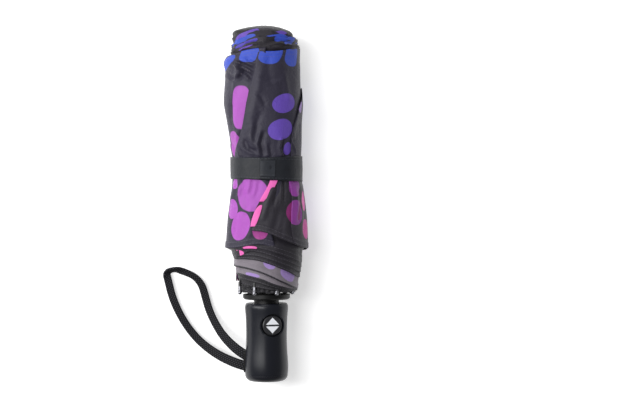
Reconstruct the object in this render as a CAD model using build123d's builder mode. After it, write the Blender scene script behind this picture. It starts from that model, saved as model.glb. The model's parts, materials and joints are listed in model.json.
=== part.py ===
from build123d import *
import math
import os

# Three-fold automatic umbrella, closed and tied, lying on its flattened side.
# Frame: +Y along the shaft from the handle to the crown, +Z up, +X to the right,
# Z = 0 is the surface it lies on, Y = 0 the middle of its length. Millimetres.

# ---------------------------------------------------------------- driving sizes
LENGTH = 284.8            # overall, closed
MID = LENGTH / 2
AXIS_Z = 27.0             # height of the shaft's axis

RIBS = 8
FIRST_AZIMUTH = 22.5      # degrees, from +X towards +Z
LEAN = 1.5                # degrees that the folded ribs lean outwards
CROWN_A = 268.0           # crown hinge, along the shaft from the handle's end
HINGE_R = 9.5             # hinge circle on the crown and on the runner
STRETCHER = 90.0          # stretcher, hinge to hinge
INNER_RIB = 172.0
MIDDLE_RIB = 166.0
OUTER_RIB = 192.0
KNUCKLE = 1.8             # from a rib's middle line to its knuckle's pin
RIB_W = 3.2
RIB_H = 2.3
RIB_IN = 2.3              # inside width of the channel
RIB_WALL = 0.45
PIN_R = 0.5
EYE_R = 1.4
BORE = 0.05               # running clearance of a pin in its eye

TUBES = {                 # outer radius, inner radius, lower end, upper end
    "lower": (6.5, 5.9, 14.0, 250.0),
    "middle": (5.5, 4.9, 66.0, 256.0),
    "upper": (4.5, 3.9, 72.0, 272.0),
}

HANDLE_TOP = 62.0
HANDLE_R = [(0.0, 12.6), (1.2, 15.0), (4.5, 16.9), (10.0, 17.4), (20.0, 16.9), (32.0, 16.3),
            (44.0, 16.4), (56.0, 17.1), (60.5, 17.2), (62.0, 16.2)]
CAP_A = 5.0               # thickness of the end cap
CAVITY_R = 13.4
NECK_R = 10.0
CUP_R = 18.8
BUTTON_A = 45.2
BUTTON_TILT = 20.0        # the button faces this far to the right of straight up
BUTTON_R = 7.9
BUTTON_BORE = 8.25
RING_R = 9.1
BUTTON_TOP = 15.6         # button face, from the shaft's axis
ARROW = [(0.7, -5.4), (0.7, 5.4), (6.2, 0.0)]

CAVITY = 24.7             # radius kept free inside the folded canopy
CANOPY = [                # along the shaft, half width, bottom, top
    (75.0, 25.9, 0.9, 52.6),
    (92.0, 27.0, 0.5, 53.2),
    (107.0, 31.2, 0.0, 54.0),
    (128.0, 31.0, 0.0, 54.4),
    (145.0, 29.0, 0.0, 53.6),
    (158.0, 27.2, 1.1, 52.6),
    (181.0, 27.2, 1.1, 52.6),
    (196.0, 29.2, 0.0, 53.8),
    (232.0, 30.2, 0.0, 54.2),
    (255.0, 29.6, 0.0, 53.8),
    (268.0, 26.6, 0.4, 53.2),
    (278.0, 25.0, 1.8, 52.0),
    (LENGTH, 9.0, 14.0, 39.0),
]
BAND = (160.4, 178.8)
BAND_T = 1.0

ANCHOR_IN = 12.2          # the strap's anchor, from the shaft's axis
ANCHOR_X = 18.0
STRAP_R = 3.4             # half the width of the wrist strap's tape
STRAP = [                 # X, station along the shaft, Z
    (-18.0, 19.2, 27.0), (-27.5, 25.6, 23.6), (-37.6, 36.4, 14.8), (-45.8, 47.6, 6.9),
    (-50.4, 61.0, 4.0), (-53.2, 74.6, 3.7), (-61.6, 84.8, 3.6), (-71.6, 89.6, 3.6),
    (-77.6, 87.6, 3.6), (-80.8, 81.4, 3.6), (-79.4, 72.4, 3.6), (-75.6, 60.6, 3.6),
    (-69.6, 48.0, 3.7), (-61.0, 35.6, 4.2), (-50.6, 25.6, 7.4), (-39.0, 18.4, 15.4),
    (-28.0, 13.6, 23.8), (-18.0, 11.2, 27.0),
]


def y(a):
    return a - MID


def radial(deg):
    return Vector(math.cos(math.radians(deg)), 0, math.sin(math.radians(deg)))


def link_plane(azimuth, r, a, swing):
    """Plane of one link: its x runs along the link, its y towards the outside of the
    canopy, and its origin is the pivot at radius r and station a. A swing of 0 points
    down the shaft, 90 straight out."""
    out = radial(azimuth)
    s = math.radians(swing)
    along = out * math.sin(s) + Vector(0, -math.cos(s), 0)
    up = out * math.cos(s) + Vector(0, math.sin(s), 0)
    return Plane(origin=out * r + Vector(0, y(a), AXIS_Z), x_dir=along, z_dir=along.cross(up))


def point(r, a, swing, u, n):
    s = math.radians(swing)
    return r + u * math.sin(s) + n * math.cos(s), a - u * math.cos(s) + n * math.sin(s)


def save(name, build):
    build.part.label = name
    export_step(build.part, f"parts/{name}.step")


os.makedirs("parts", exist_ok=True)
AZIMUTHS = [FIRST_AZIMUTH + 360 / RIBS * i for i in range(RIBS)]
AXIS = Plane(origin=(0, y(0), AXIS_Z), x_dir=(1, 0, 0), z_dir=(0, 1, 0))   # z runs up the shaft

# pivots of the folded frame, in the plane of a rib
CROWN_PIVOT = (HINGE_R, CROWN_A)
REST_1 = LEAN
REST_S = -LEAN
REST_2 = 180 + LEAN
REST_3 = LEAN
INNER_MID = 0.8                                   # the channel's middle line, above the hinge line
STRETCHER_PIVOT = point(*CROWN_PIVOT, REST_1, STRETCHER, 0)
KNUCKLE_1 = point(*CROWN_PIVOT, REST_1, INNER_RIB, INNER_MID + KNUCKLE)
KNUCKLE_2 = point(*KNUCKLE_1, REST_2, MIDDLE_RIB, -2 * KNUCKLE)
RUNNER_PIVOT = point(*STRETCHER_PIVOT, REST_S, STRETCHER, 0)
print("pivots", CROWN_PIVOT, STRETCHER_PIVOT, KNUCKLE_1, KNUCKLE_2, RUNNER_PIVOT)

# ---------------------------------------------------------------- shaft
for name, (ro, ri, lo, hi) in TUBES.items():
    with BuildPart() as tube:
        with BuildSketch(AXIS.offset(lo)):
            Circle(ro)
            Circle(ri, mode=Mode.SUBTRACT)
        extrude(amount=hi - lo)
    save(f"{name}_tube", tube)

# opening spring inside the tubes, as a plain sleeve
with BuildPart() as drive_spring:
    with BuildSketch(AXIS.offset(24)):
        Circle(3.0)
        Circle(2.2, mode=Mode.SUBTRACT)
    extrude(amount=216)
save("drive_spring", drive_spring)

# ---------------------------------------------------------------- handle
BUTTON_DIR = Vector(math.sin(math.radians(BUTTON_TILT)), 0, math.cos(math.radians(BUTTON_TILT)))
BUTTON_FOOT = Vector(0, y(BUTTON_A), AXIS_Z)


def button_plane(height):
    return Plane(origin=BUTTON_FOOT + BUTTON_DIR * height, x_dir=(0, 1, 0), z_dir=BUTTON_DIR)


HALF = Plane(origin=(0, y(0), AXIS_Z), x_dir=(1, 0, 0), z_dir=(0, 0, 1))   # x radius, y along the shaft

with BuildPart() as handle_shell:
    with BuildSketch(HALF):
        with BuildLine():
            Polyline((6.52, CAP_A), (6.52, HANDLE_TOP), (16.2, HANDLE_TOP))
            Spline((16.2, HANDLE_TOP), (17.1, 60.2), (17.1, 56.0), (16.4, 44.0), (16.3, 32.0),
                   (16.9, 20.0), (17.4, 10.0), (17.0, CAP_A))
            Line((17.0, CAP_A), (6.52, CAP_A))
        make_face()
    revolve(axis=Axis((0, 0, AXIS_Z), (0, 1, 0)))
    # hollow inside, with a floor of 3 mm at the top and ribs of plastic round the button
    with BuildSketch(AXIS.offset(CAP_A)):
        Circle(CAVITY_R)
    extrude(amount=53.0, mode=Mode.SUBTRACT)
    with BuildSketch(button_plane(8.2)):
        Circle(10.0)
    extrude(amount=6.6)
    with BuildSketch(button_plane(7.0)):
        Circle(BUTTON_BORE)
    extrude(amount=14, mode=Mode.SUBTRACT)
    with BuildSketch(button_plane(12.8)):
        Circle(RING_R)
    extrude(amount=8, mode=Mode.SUBTRACT)
    # pocket of the strap's anchor, on the left side
    with BuildSketch(Plane(origin=(0, y(15.6), AXIS_Z), x_dir=(0, 1, 0), z_dir=(-1, 0, 0)).offset(10)):
        RectangleRounded(18.0, 8.0, 3.0)
    extrude(amount=12, mode=Mode.SUBTRACT)
save("handle_shell", handle_shell)

with BuildPart() as handle_end_cap:
    with BuildSketch(HALF):
        with BuildLine():
            Polyline((0, CAP_A), (0, 0), (12.6, 0))
            Spline((12.6, 0), (15.3, 1.2), (16.6, 3.0), (17.0, CAP_A - 0.02))
            Line((17.0, CAP_A - 0.02), (0, CAP_A))
        make_face()
    revolve(axis=Axis((0, 0, AXIS_Z), (0, 1, 0)))
    # spigot that plugs into the shell
    with BuildSketch(AXIS.offset(CAP_A - 0.5)):
        Circle(CAVITY_R - 0.1)
        Circle(CAVITY_R - 1.6, mode=Mode.SUBTRACT)
    extrude(amount=2.0)
save("handle_end_cap", handle_end_cap)

# neck and cup that gathers the rib tips
with BuildPart() as handle_collar:
    with BuildSketch(HALF):
        with BuildLine():
            Polyline((6.55, HANDLE_TOP + 0.02), (NECK_R, HANDLE_TOP + 0.02), (NECK_R, 64.6), (CUP_R - 1.2, 65.2),
                     (CUP_R, 66.4), (CUP_R, 69.2), (CUP_R - 1.4, 69.2), (CUP_R - 2.2, 67.4), (12.0, 66.8),
                     (11.0, 70.6), (6.55, 70.6), (6.55, HANDLE_TOP + 0.02))
        make_face()
    revolve(axis=Axis((0, 0, AXIS_Z), (0, 1, 0)))
save("handle_collar", handle_collar)

with BuildPart() as push_button:
    with BuildSketch(button_plane(9.6)):
        Circle(BUTTON_R)
    extrude(amount=BUTTON_TOP - 9.6)
    chamfer(push_button.faces().filter_by(lambda f: abs(f.normal_at().dot(BUTTON_DIR) - 1) < 1e-3)
            .sort_by(SortBy.AREA)[-1].edges(), 0.6)
    with BuildSketch(button_plane(BUTTON_TOP - 0.4)):
        for side in (1, -1):
            with BuildLine():
                Polyline(*[(side * px, py) for px, py in ARROW], close=True)
            make_face()
        offset(amount=0.04, kind=Kind.INTERSECTION)
    extrude(amount=1, mode=Mode.SUBTRACT)
save("push_button", push_button)

# pale inlays that point up and down the shaft
with BuildPart() as button_arrows:
    with BuildSketch(button_plane(BUTTON_TOP - 0.4)):
        for side in (1, -1):
            with BuildLine():
                Polyline(*[(side * px, py) for px, py in ARROW], close=True)
            make_face()
    extrude(amount=0.45)
save("button_arrows", button_arrows)

with BuildPart() as button_spring:
    with BuildSketch(button_plane(7.1)):
        Circle(3.2)
        Circle(2.4, mode=Mode.SUBTRACT)
    extrude(amount=2.45)
save("button_spring", button_spring)

# insert in the handle's left side that both ends of the wrist strap run into
with BuildPart() as strap_anchor:
    with BuildSketch(Plane(origin=(0, y(15.6), AXIS_Z), x_dir=(0, 1, 0), z_dir=(-1, 0, 0)).offset(ANCHOR_IN)):
        RectangleRounded(17.9, 7.9, 2.9)
    extrude(amount=ANCHOR_X - ANCHOR_IN)
save("strap_anchor", strap_anchor)

# wrist strap: a limp braided tape, as a plain tube along its route
route = [Vector(px, y(pa), pz) for px, pa, pz in STRAP]
runs = [b - a for a, b in zip(route, route[1:])]
radii = [0.45 * min(u.length, v.length) / math.tan(math.radians(u.get_angle(v)) / 2) for u, v in zip(runs, runs[1:])]
print("strap runs", [round(r.length, 1) for r in runs])
print("strap radii", [round(r, 1) for r in radii])
with BuildPart() as wrist_strap:
    with BuildLine() as strap_line:
        FilletPolyline(*route, radius=radii)
    with BuildSketch(Plane(origin=route[0], z_dir=runs[0])):
        Circle(STRAP_R)
    sweep()
strap_length = sum(e.length for e in strap_line.edges())
print("strap length", round(strap_length, 1), "volume against section times length",
      wrist_strap.part.volume / (strap_length * math.pi * STRAP_R ** 2))
save("wrist_strap", wrist_strap)

# ---------------------------------------------------------------- crown and runner
with BuildPart() as crown_hub:
    with BuildSketch(AXIS.offset(CROWN_A - 4.5)):
        Circle(12.5)
        Circle(4.52, mode=Mode.SUBTRACT)
    extrude(amount=8.5)
    for az in AZIMUTHS:
        with BuildSketch(link_plane(az, HINGE_R, CROWN_A, 0)):
            with Locations((0, 4.1)):
                Rectangle(20, 12)
        extrude(amount=1.2, both=True, mode=Mode.SUBTRACT)
    for az in AZIMUTHS:
        with BuildSketch(link_plane(az, HINGE_R, CROWN_A, 0)):
            Circle(PIN_R + 0.1)
        extrude(amount=1.6, both=True)
save("crown_hub", crown_hub)

with BuildPart() as crown_cap:
    with BuildSketch(HALF):
        with BuildLine():
            Polyline((0, 272.1), (8.5, 272.1), (8.5, 273.6), (6.0, 275.8), (0, 276.6), (0, 272.1))
        make_face()
    revolve(axis=Axis((0, 0, AXIS_Z), (0, 1, 0)))
save("crown_cap", crown_cap)

with BuildPart() as runner:
    with BuildSketch(AXIS.offset(72.5)):
        Circle(7.7)
        Circle(6.85, mode=Mode.SUBTRACT)
    extrude(amount=22.0)
    with BuildSketch(AXIS.offset(RUNNER_PIVOT[1] - 4)):
        Circle(12.0)
        Circle(7.0, mode=Mode.SUBTRACT)
    extrude(amount=8)
    for az in AZIMUTHS:
        with BuildSketch(link_plane(az, HINGE_R, RUNNER_PIVOT[1], 0)):
            with Locations((0, 4.3)):
                Rectangle(20, 12)
        extrude(amount=1.2, both=True, mode=Mode.SUBTRACT)
save("runner", runner)

# ---------------------------------------------------------------- ribs
for i, az in enumerate(AZIMUTHS, 1):
    # inner rib: a channel open to the shaft, hinged in the crown
    with BuildPart() as inner:
        pl = link_plane(az, *CROWN_PIVOT, REST_1)
        top, low = INNER_MID + RIB_H / 2, INNER_MID - RIB_H / 2
        with BuildSketch(pl):
            with Locations(((7 + INNER_RIB - 4) / 2, INNER_MID)):
                Rectangle(INNER_RIB - 11, RIB_H)
            with Locations((STRETCHER, 0)):
                Circle(EYE_R)
        extrude(amount=RIB_W / 2, both=True)
        with BuildSketch(pl):
            with Locations(((9 + INNER_RIB - 6) / 2, top - RIB_WALL - 2)):
                Rectangle(INNER_RIB - 15, 4)
        extrude(amount=RIB_IN / 2, both=True, mode=Mode.SUBTRACT)
        with BuildSketch(pl):
            with BuildLine():
                Polyline((0, EYE_R), (8, top), (8, low), (0, -EYE_R), (0, EYE_R))
            make_face()
            Circle(EYE_R)
        extrude(amount=0.8, both=True)
        with BuildSketch(pl):
            Circle(PIN_R + 0.1 + BORE)
        extrude(amount=2, both=True, mode=Mode.SUBTRACT)
        with BuildSketch(pl):
            k = (INNER_RIB, INNER_MID + KNUCKLE)
            with BuildLine():
                Polyline((INNER_RIB - 5, top), (INNER_RIB, k[1] + EYE_R), (INNER_RIB, k[1] - EYE_R),
                         (INNER_RIB - 3, low), (INNER_RIB - 5, low), (INNER_RIB - 5, top))
            make_face()
            with Locations(k):
                Circle(EYE_R)
        extrude(amount=0.6, both=True)
        with BuildSketch(pl):
            with Locations(k, (STRETCHER, 0)):
                Circle(PIN_R)
        extrude(amount=RIB_W / 2, both=True)
    save(f"rib_inner_{i}", inner)

    # stretcher: a flat bar that nests in the inner rib and runs down to the runner
    with BuildPart() as stretcher:
        pl = link_plane(az, *STRETCHER_PIVOT, REST_S)
        with BuildSketch(pl):
            with Locations((STRETCHER / 2, 0)):
                Rectangle(STRETCHER, 1.8)
            with Locations((0, 0), (STRETCHER, 0)):
                Circle(1.15)
            with Locations((0, 0), (STRETCHER, 0)):
                Circle(PIN_R + BORE, mode=Mode.SUBTRACT)
        extrude(amount=0.75, both=True)
    save(f"stretcher_{i}", stretcher)

    # middle rib: folded back up the outside of the inner rib
    with BuildPart() as middle:
        pl = link_plane(az, *KNUCKLE_1, REST_2)
        top, low = -KNUCKLE + RIB_H / 2 - 0.1, -KNUCKLE - RIB_H / 2 + 0.1
        with BuildSketch(pl):
            with Locations((MIDDLE_RIB / 2, -KNUCKLE)):
                Rectangle(MIDDLE_RIB - 8, top - low)
        extrude(amount=RIB_W / 2, both=True)
        with BuildSketch(pl):
            with Locations((MIDDLE_RIB / 2, top - RIB_WALL - 2)):
                Rectangle(MIDDLE_RIB - 14, 4)
        extrude(amount=RIB_IN / 2, both=True, mode=Mode.SUBTRACT)
        with BuildSketch(pl):
            with BuildLine():
                Polyline((0, EYE_R), (0, -EYE_R), (4, low), (5, low), (5, top), (4, top), (0, EYE_R))
            make_face()
            Circle(EYE_R)
        extrude(amount=1.5, both=True)
        with BuildSketch(pl):
            with Locations((0, 0)):
                Rectangle(7.4, 12)
        extrude(amount=0.75, both=True, mode=Mode.SUBTRACT)
        with BuildSketch(pl):
            Circle(PIN_R + BORE)
        extrude(amount=2, both=True, mode=Mode.SUBTRACT)
        with BuildSketch(pl):
            k = (MIDDLE_RIB, -2 * KNUCKLE)
            with BuildLine():
                Polyline((MIDDLE_RIB - 5, top), (MIDDLE_RIB - 3.5, top), (MIDDLE_RIB, k[1] + EYE_R),
                         (MIDDLE_RIB, k[1] - EYE_R), (MIDDLE_RIB - 5, low), (MIDDLE_RIB - 5, top))
            make_face()
            with Locations(k):
                Circle(EYE_R)
        extrude(amount=0.6, both=True)
        with BuildSketch(pl):
            with Locations(k):
                Circle(PIN_R)
        extrude(amount=1.5, both=True)
    save(f"rib_middle_{i}", middle)

    # outer rib: a slim rod with a fork at the knuckle and a capped tip
    with BuildPart() as outer:
        pl = link_plane(az, *KNUCKLE_2, REST_3)
        with BuildSketch(pl):
            with BuildLine():
                Polyline((0, EYE_R), (0, -EYE_R), (4, KNUCKLE - 1), (10, KNUCKLE - 1), (10, KNUCKLE + 1),
                         (4, KNUCKLE + 1), (0, EYE_R))
            make_face()
            Circle(EYE_R)
        extrude(amount=1.5, both=True)
        with BuildSketch(pl):
            Rectangle(7.4, 12)
        extrude(amount=0.75, both=True, mode=Mode.SUBTRACT)
        with BuildSketch(pl):
            Circle(PIN_R + BORE)
        extrude(amount=2, both=True, mode=Mode.SUBTRACT)
        across = Plane(origin=pl.from_local_coords((9, KNUCKLE, 0)), x_dir=pl.z_dir, z_dir=pl.x_dir)
        with BuildSketch(across):
            Circle(0.9)
        extrude(amount=OUTER_RIB - 9)
        with BuildSketch(across.offset(OUTER_RIB - 9 - 9)):
            Circle(1.3)
        extrude(amount=7.5)
        with Locations(across.offset(OUTER_RIB - 9 - 0.6)):
            Sphere(1.6)
    save(f"rib_outer_{i}", outer)

# ---------------------------------------------------------------- canopy


def section(w, low, high, grow=0.0):
    """Rounded outline of the folded canopy, flat underneath."""
    pts = []
    mid = AXIS_Z
    for k in range(28):
        t = 2 * math.pi * (k + 0.5) / 28
        c, s = math.cos(t), math.sin(t)
        q = (abs(c) ** 2.4 + abs(s) ** 2.4) ** (-1 / 2.4)
        h = (high - mid) if s > 0 else (mid - low) * 1.06
        pts.append(((w + grow) * q * c, max((h + grow) * q * s, low - grow - mid)))
    return pts


with BuildPart() as canopy_folds:
    for a, w, low, high in CANOPY:
        with BuildSketch(Plane(origin=(0, y(a), AXIS_Z), x_dir=(1, 0, 0), z_dir=(0, -1, 0))):
            with BuildLine():
                Polyline(*section(w, low, high), close=True)
            make_face()
    loft(ruled=True)
    with BuildSketch(AXIS.offset(70)):
        Circle(CAVITY)
    extrude(amount=273.5 - 70, mode=Mode.SUBTRACT)
    with BuildSketch(AXIS.offset(270)):
        Circle(10.5)
    extrude(amount=8, mode=Mode.SUBTRACT)
save("canopy_folds", canopy_folds)

BAND_PLANE = Plane(origin=(0, y(BAND[1]), AXIS_Z), x_dir=(1, 0, 0), z_dir=(0, -1, 0))
with BuildPart() as tie_band:
    with BuildSketch(BAND_PLANE):
        with BuildLine():
            Polyline(*section(27.2, 1.1, 52.6, BAND_T + 0.1), close=True)
        make_face()
        with BuildLine():
            Polyline(*section(27.2, 1.1, 52.6, 0.1), close=True)
        make_face(mode=Mode.SUBTRACT)
    extrude(amount=BAND[1] - BAND[0])
save("tie_band", tie_band)

# hook-and-loop patch where the band closes on itself
with BuildPart() as tie_patch:
    with BuildSketch(Plane(origin=(-2.0, y(169.6), AXIS_Z + 25.6 + 1.3), x_dir=(1, 0, 0), z_dir=(0, 0, 1))):
        RectangleRounded(9.0, 14.0, 1.2)
    extrude(amount=0.6)
save("tie_patch", tie_patch)

# the canopy's cloth that travels with the ribs: three rings in two halves, gathered on two ribs
BASES = {"a": 0, "b": 4}
for half, n in BASES.items():
    az = AZIMUTHS[n]
    for ring, pivot, swing, lo, hi, level in (
        (1, CROWN_PIVOT, REST_1, 12.0, INNER_RIB - 12, INNER_MID + RIB_H / 2 + 0.25),
        (2, KNUCKLE_1, REST_2, 12.0, MIDDLE_RIB - 12, -KNUCKLE + RIB_H / 2 + 0.15),
        (3, KNUCKLE_2, REST_3, 14.0, OUTER_RIB - 14, KNUCKLE + 1.3),
    ):
        with BuildPart() as cloth:
            with BuildSketch(link_plane(az, *pivot, swing)):
                with Locations(((lo + hi) / 2, level + 0.12)):
                    Rectangle(hi - lo, 0.24)
            extrude(amount=2.0, both=True)
        save(f"canopy_ring{ring}_{half}", cloth)
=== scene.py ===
import json
import math
import bpy
import numpy as np
from mathutils import Vector, Matrix

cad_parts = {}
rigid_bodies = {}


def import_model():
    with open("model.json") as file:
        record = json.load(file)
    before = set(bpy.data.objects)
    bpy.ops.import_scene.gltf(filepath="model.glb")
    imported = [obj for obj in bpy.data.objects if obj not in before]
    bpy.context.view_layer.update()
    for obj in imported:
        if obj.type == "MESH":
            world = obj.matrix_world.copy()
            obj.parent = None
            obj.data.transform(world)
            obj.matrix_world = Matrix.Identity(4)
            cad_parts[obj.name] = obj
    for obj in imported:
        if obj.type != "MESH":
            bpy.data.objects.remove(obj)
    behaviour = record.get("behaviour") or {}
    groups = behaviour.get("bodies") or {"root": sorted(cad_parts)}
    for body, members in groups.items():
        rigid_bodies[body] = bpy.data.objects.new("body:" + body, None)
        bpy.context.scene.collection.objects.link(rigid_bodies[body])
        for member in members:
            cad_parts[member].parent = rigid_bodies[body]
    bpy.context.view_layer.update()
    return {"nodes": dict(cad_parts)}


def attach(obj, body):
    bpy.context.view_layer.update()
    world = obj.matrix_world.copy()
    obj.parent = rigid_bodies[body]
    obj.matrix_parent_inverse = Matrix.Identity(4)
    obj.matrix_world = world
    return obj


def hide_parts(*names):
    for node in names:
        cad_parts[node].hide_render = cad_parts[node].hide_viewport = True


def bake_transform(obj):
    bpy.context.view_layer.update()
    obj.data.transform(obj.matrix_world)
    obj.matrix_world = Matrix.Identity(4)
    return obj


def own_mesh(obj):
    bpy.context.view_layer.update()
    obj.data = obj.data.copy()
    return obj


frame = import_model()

SC = bpy.context.scene
MM = 0.001
MID = 142.4
AXZ = 27.0
rng = np.random.default_rng(7)


def fx(px):
    """Across, millimetres from the shaft's axis, of a column of the view."""
    return (np.asarray(px, float) - 266.5) * 0.8


def fa(py):
    """Station along the shaft, millimetres from the handle's end."""
    return (380.5 - np.asarray(py, float)) * 0.8


# ------------------------------------------------------------------ camera
cam = bpy.data.cameras.new("camera")
cam.lens = 85
cam.sensor_width = 36
cam_o = bpy.data.objects.new("camera", cam)
SC.collection.objects.link(cam_o)
cam_o.location = (42.8 * MM, 2.0 * MM, (AXZ + 1209) * MM)
cam_o.rotation_euler = (0, 0, 0)
cam.clip_end = 20
SC.camera = cam_o


# ------------------------------------------------------------------ node helpers
def material(name):
    m = bpy.data.materials.new(name)
    m.use_nodes = True
    m.node_tree.nodes.clear()
    out = m.node_tree.nodes.new("ShaderNodeOutputMaterial")
    b = m.node_tree.nodes.new("ShaderNodeBsdfPrincipled")
    m.node_tree.links.new(b.outputs[0], out.inputs[0])
    return m, m.node_tree, b


def node(t, kind, **props):
    n = t.nodes.new(kind)
    for k, v in props.items():
        setattr(n, k, v)
    return n


def math_node(t, op, a, b=None, clamp=False):
    n = node(t, "ShaderNodeMath", operation=op, use_clamp=clamp)
    for i, v in enumerate((a, b)):
        if v is None:
            continue
        if isinstance(v, (int, float)):
            n.inputs[i].default_value = v
        else:
            t.links.new(v, n.inputs[i])
    return n.outputs[0]


def noise(t, coord, scale, detail=3.0, rough=0.55, distortion=0.0, stretch=None):
    if stretch is not None:
        mp = node(t, "ShaderNodeMapping")
        mp.inputs["Scale"].default_value = stretch
        t.links.new(coord, mp.inputs[0])
        coord = mp.outputs[0]
    n = node(t, "ShaderNodeTexNoise")
    n.inputs["Scale"].default_value = scale
    n.inputs["Detail"].default_value = detail
    n.inputs["Roughness"].default_value = rough
    n.inputs["Distortion"].default_value = distortion
    t.links.new(coord, n.inputs["Vector"])
    return n.outputs["Fac"]


def ramp(t, fac, stops, interpolation="LINEAR"):
    n = node(t, "ShaderNodeValToRGB")
    n.color_ramp.interpolation = interpolation
    e = n.color_ramp.elements
    while len(e) < len(stops):
        e.new(0.5)
    for el, (pos, col) in zip(e, stops):
        el.position = pos
        el.color = (*col, 1) if len(col) == 3 else col
    t.links.new(fac, n.inputs[0])
    return n.outputs[0]


def mix(t, fac, a, b, blend="MIX"):
    n = node(t, "ShaderNodeMix", data_type="RGBA", blend_type=blend)
    for i, v in ((0, fac), (6, a), (7, b)):
        if isinstance(v, (int, float)):
            n.inputs[i].default_value = v
        elif isinstance(v, (tuple, list)):
            n.inputs[i].default_value = (*v, 1)
        else:
            t.links.new(v, n.inputs[i])
    return n.outputs[2]


def bump(t, height, strength, distance, normal=None):
    n = node(t, "ShaderNodeBump")
    n.inputs["Strength"].default_value = strength
    n.inputs["Distance"].default_value = distance
    t.links.new(height, n.inputs["Height"])
    if normal is not None:
        t.links.new(normal, n.inputs["Normal"])
    return n.outputs[0]


def srgb(r, g, b):
    def f(c):
        c /= 255
        return c / 12.92 if c <= 0.04045 else ((c + 0.055) / 1.055) ** 2.4
    return (f(r), f(g), f(b))


# ------------------------------------------------------------------ plastics and metals
def plastic(name, base, rough, grain=0.35, grain_scale=2600.0, coat=0.0, spec=0.5):
    m, t, b = material(name)
    co = node(t, "ShaderNodeTexCoord").outputs["Object"]
    fine = noise(t, co, grain_scale, 2.0)
    broad = noise(t, co, 60.0, 4.0)
    c = mix(t, math_node(t, "MULTIPLY", broad, 0.35), base, tuple(x * 1.5 for x in base))
    t.links.new(c, b.inputs["Base Color"])
    r = node(t, "ShaderNodeMapRange")
    r.inputs["To Min"].default_value = rough - 0.05
    r.inputs["To Max"].default_value = rough + 0.07
    t.links.new(broad, r.inputs[0])
    t.links.new(r.outputs[0], b.inputs["Roughness"])
    t.links.new(bump(t, fine, grain, 0.00005), b.inputs["Normal"])
    b.inputs["Specular IOR Level"].default_value = spec
    b.inputs["Coat Weight"].default_value = coat
    b.inputs["Coat Roughness"].default_value = 0.2
    return m


def metal(name, base, rough, brushed=True):
    m, t, b = material(name)
    co = node(t, "ShaderNodeTexCoord").outputs["Object"]
    n = noise(t, co, 900.0, 3.0, stretch=(1, 0.04, 1) if brushed else None)
    c = mix(t, n, tuple(x * 0.8 for x in base), base)
    t.links.new(c, b.inputs["Base Color"])
    r = node(t, "ShaderNodeMapRange")
    r.inputs["To Min"].default_value = rough * 0.7
    r.inputs["To Max"].default_value = rough * 1.3
    t.links.new(n, r.inputs[0])
    t.links.new(r.outputs[0], b.inputs["Roughness"])
    t.links.new(bump(t, n, 0.2, 0.00003), b.inputs["Normal"])
    b.inputs["Metallic"].default_value = 1.0
    return m


HANDLE = plastic("handle_matte", srgb(16, 18, 26), 0.31, coat=0.0, spec=0.3)
CAP = plastic("handle_cap_matte", srgb(14, 15, 23), 0.32, spec=0.36)
BLACK = plastic("black_plastic", srgb(8, 8, 10), 0.42, spec=0.25)
BUTTON = plastic("button_plastic", srgb(34, 34, 38), 0.42)
ARROW = plastic("arrow_white", srgb(232, 234, 240), 0.3, grain=0.2)
STEEL = metal("tube_steel", srgb(190, 190, 194), 0.22)
SPRING = metal("spring_steel", srgb(150, 150, 155), 0.35)
RIB = plastic("rib_enamel", srgb(22, 22, 24), 0.32, coat=0.2)


def tip_material():
    """Black enamelled rod whose last stretch is a bright metal cap."""
    m, t, b = material("rib_tip_metal")
    co = node(t, "ShaderNodeTexCoord").outputs["Object"]
    sep = node(t, "ShaderNodeSeparateXYZ")
    t.links.new(co, sep.inputs[0])
    bright = math_node(t, "LESS_THAN", sep.outputs[1], (76.0 - MID) * MM)
    n = noise(t, co, 700.0, 3.0)
    c = mix(t, bright, srgb(26, 26, 28), mix(t, n, srgb(120, 120, 126), srgb(172, 172, 178)))
    t.links.new(c, b.inputs["Base Color"])
    t.links.new(bright, b.inputs["Metallic"])
    t.links.new(math_node(t, "SUBTRACT", 0.36, math_node(t, "MULTIPLY", bright, 0.1)), b.inputs["Roughness"])
    t.links.new(bump(t, n, 0.15, 0.00003), b.inputs["Normal"])
    return m


TIP = tip_material()


# ------------------------------------------------------------------ printed cloth
CHARCOAL = srgb(42, 39, 54)
BLUE = srgb(52, 76, 182)
DEEP_BLUE = srgb(48, 60, 156)
PURPLE = srgb(97, 70, 170)
ORCHID = srgb(160, 78, 173)
MAGENTA = srgb(138, 58, 148)
PINK = srgb(228, 100, 180)
LILAC = srgb(150, 124, 184)
GREY = srgb(116, 109, 117)


def blob(t, coord, cx, cy, rx, ry, turn=0.0, soft=0.05, power=2.0):
    """1 inside a rounded shape of the print, 0 outside."""
    mp = node(t, "ShaderNodeMapping", vector_type="TEXTURE")
    mp.inputs["Location"].default_value = (cx, cy, 0)
    mp.inputs["Rotation"].default_value = (0, 0, math.radians(turn))
    mp.inputs["Scale"].default_value = (rx, ry, 1)
    t.links.new(coord, mp.inputs[0])
    if power == 2.0:
        ln = node(t, "ShaderNodeVectorMath", operation="LENGTH")
        t.links.new(mp.outputs[0], ln.inputs[0])
        d = ln.outputs["Value"]
    else:
        s = node(t, "ShaderNodeSeparateXYZ")
        t.links.new(mp.outputs[0], s.inputs[0])
        ax = math_node(t, "POWER", math_node(t, "ABSOLUTE", s.outputs[0]), power)
        ay = math_node(t, "POWER", math_node(t, "ABSOLUTE", s.outputs[1]), power)
        d = math_node(t, "POWER", math_node(t, "ADD", ax, ay), 1 / power)
    mr = node(t, "ShaderNodeMapRange", interpolation_type="SMOOTHSTEP")
    mr.inputs["From Min"].default_value = 1 + soft
    mr.inputs["From Max"].default_value = 1 - soft
    t.links.new(d, mr.inputs[0])
    return mr.outputs[0]


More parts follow.
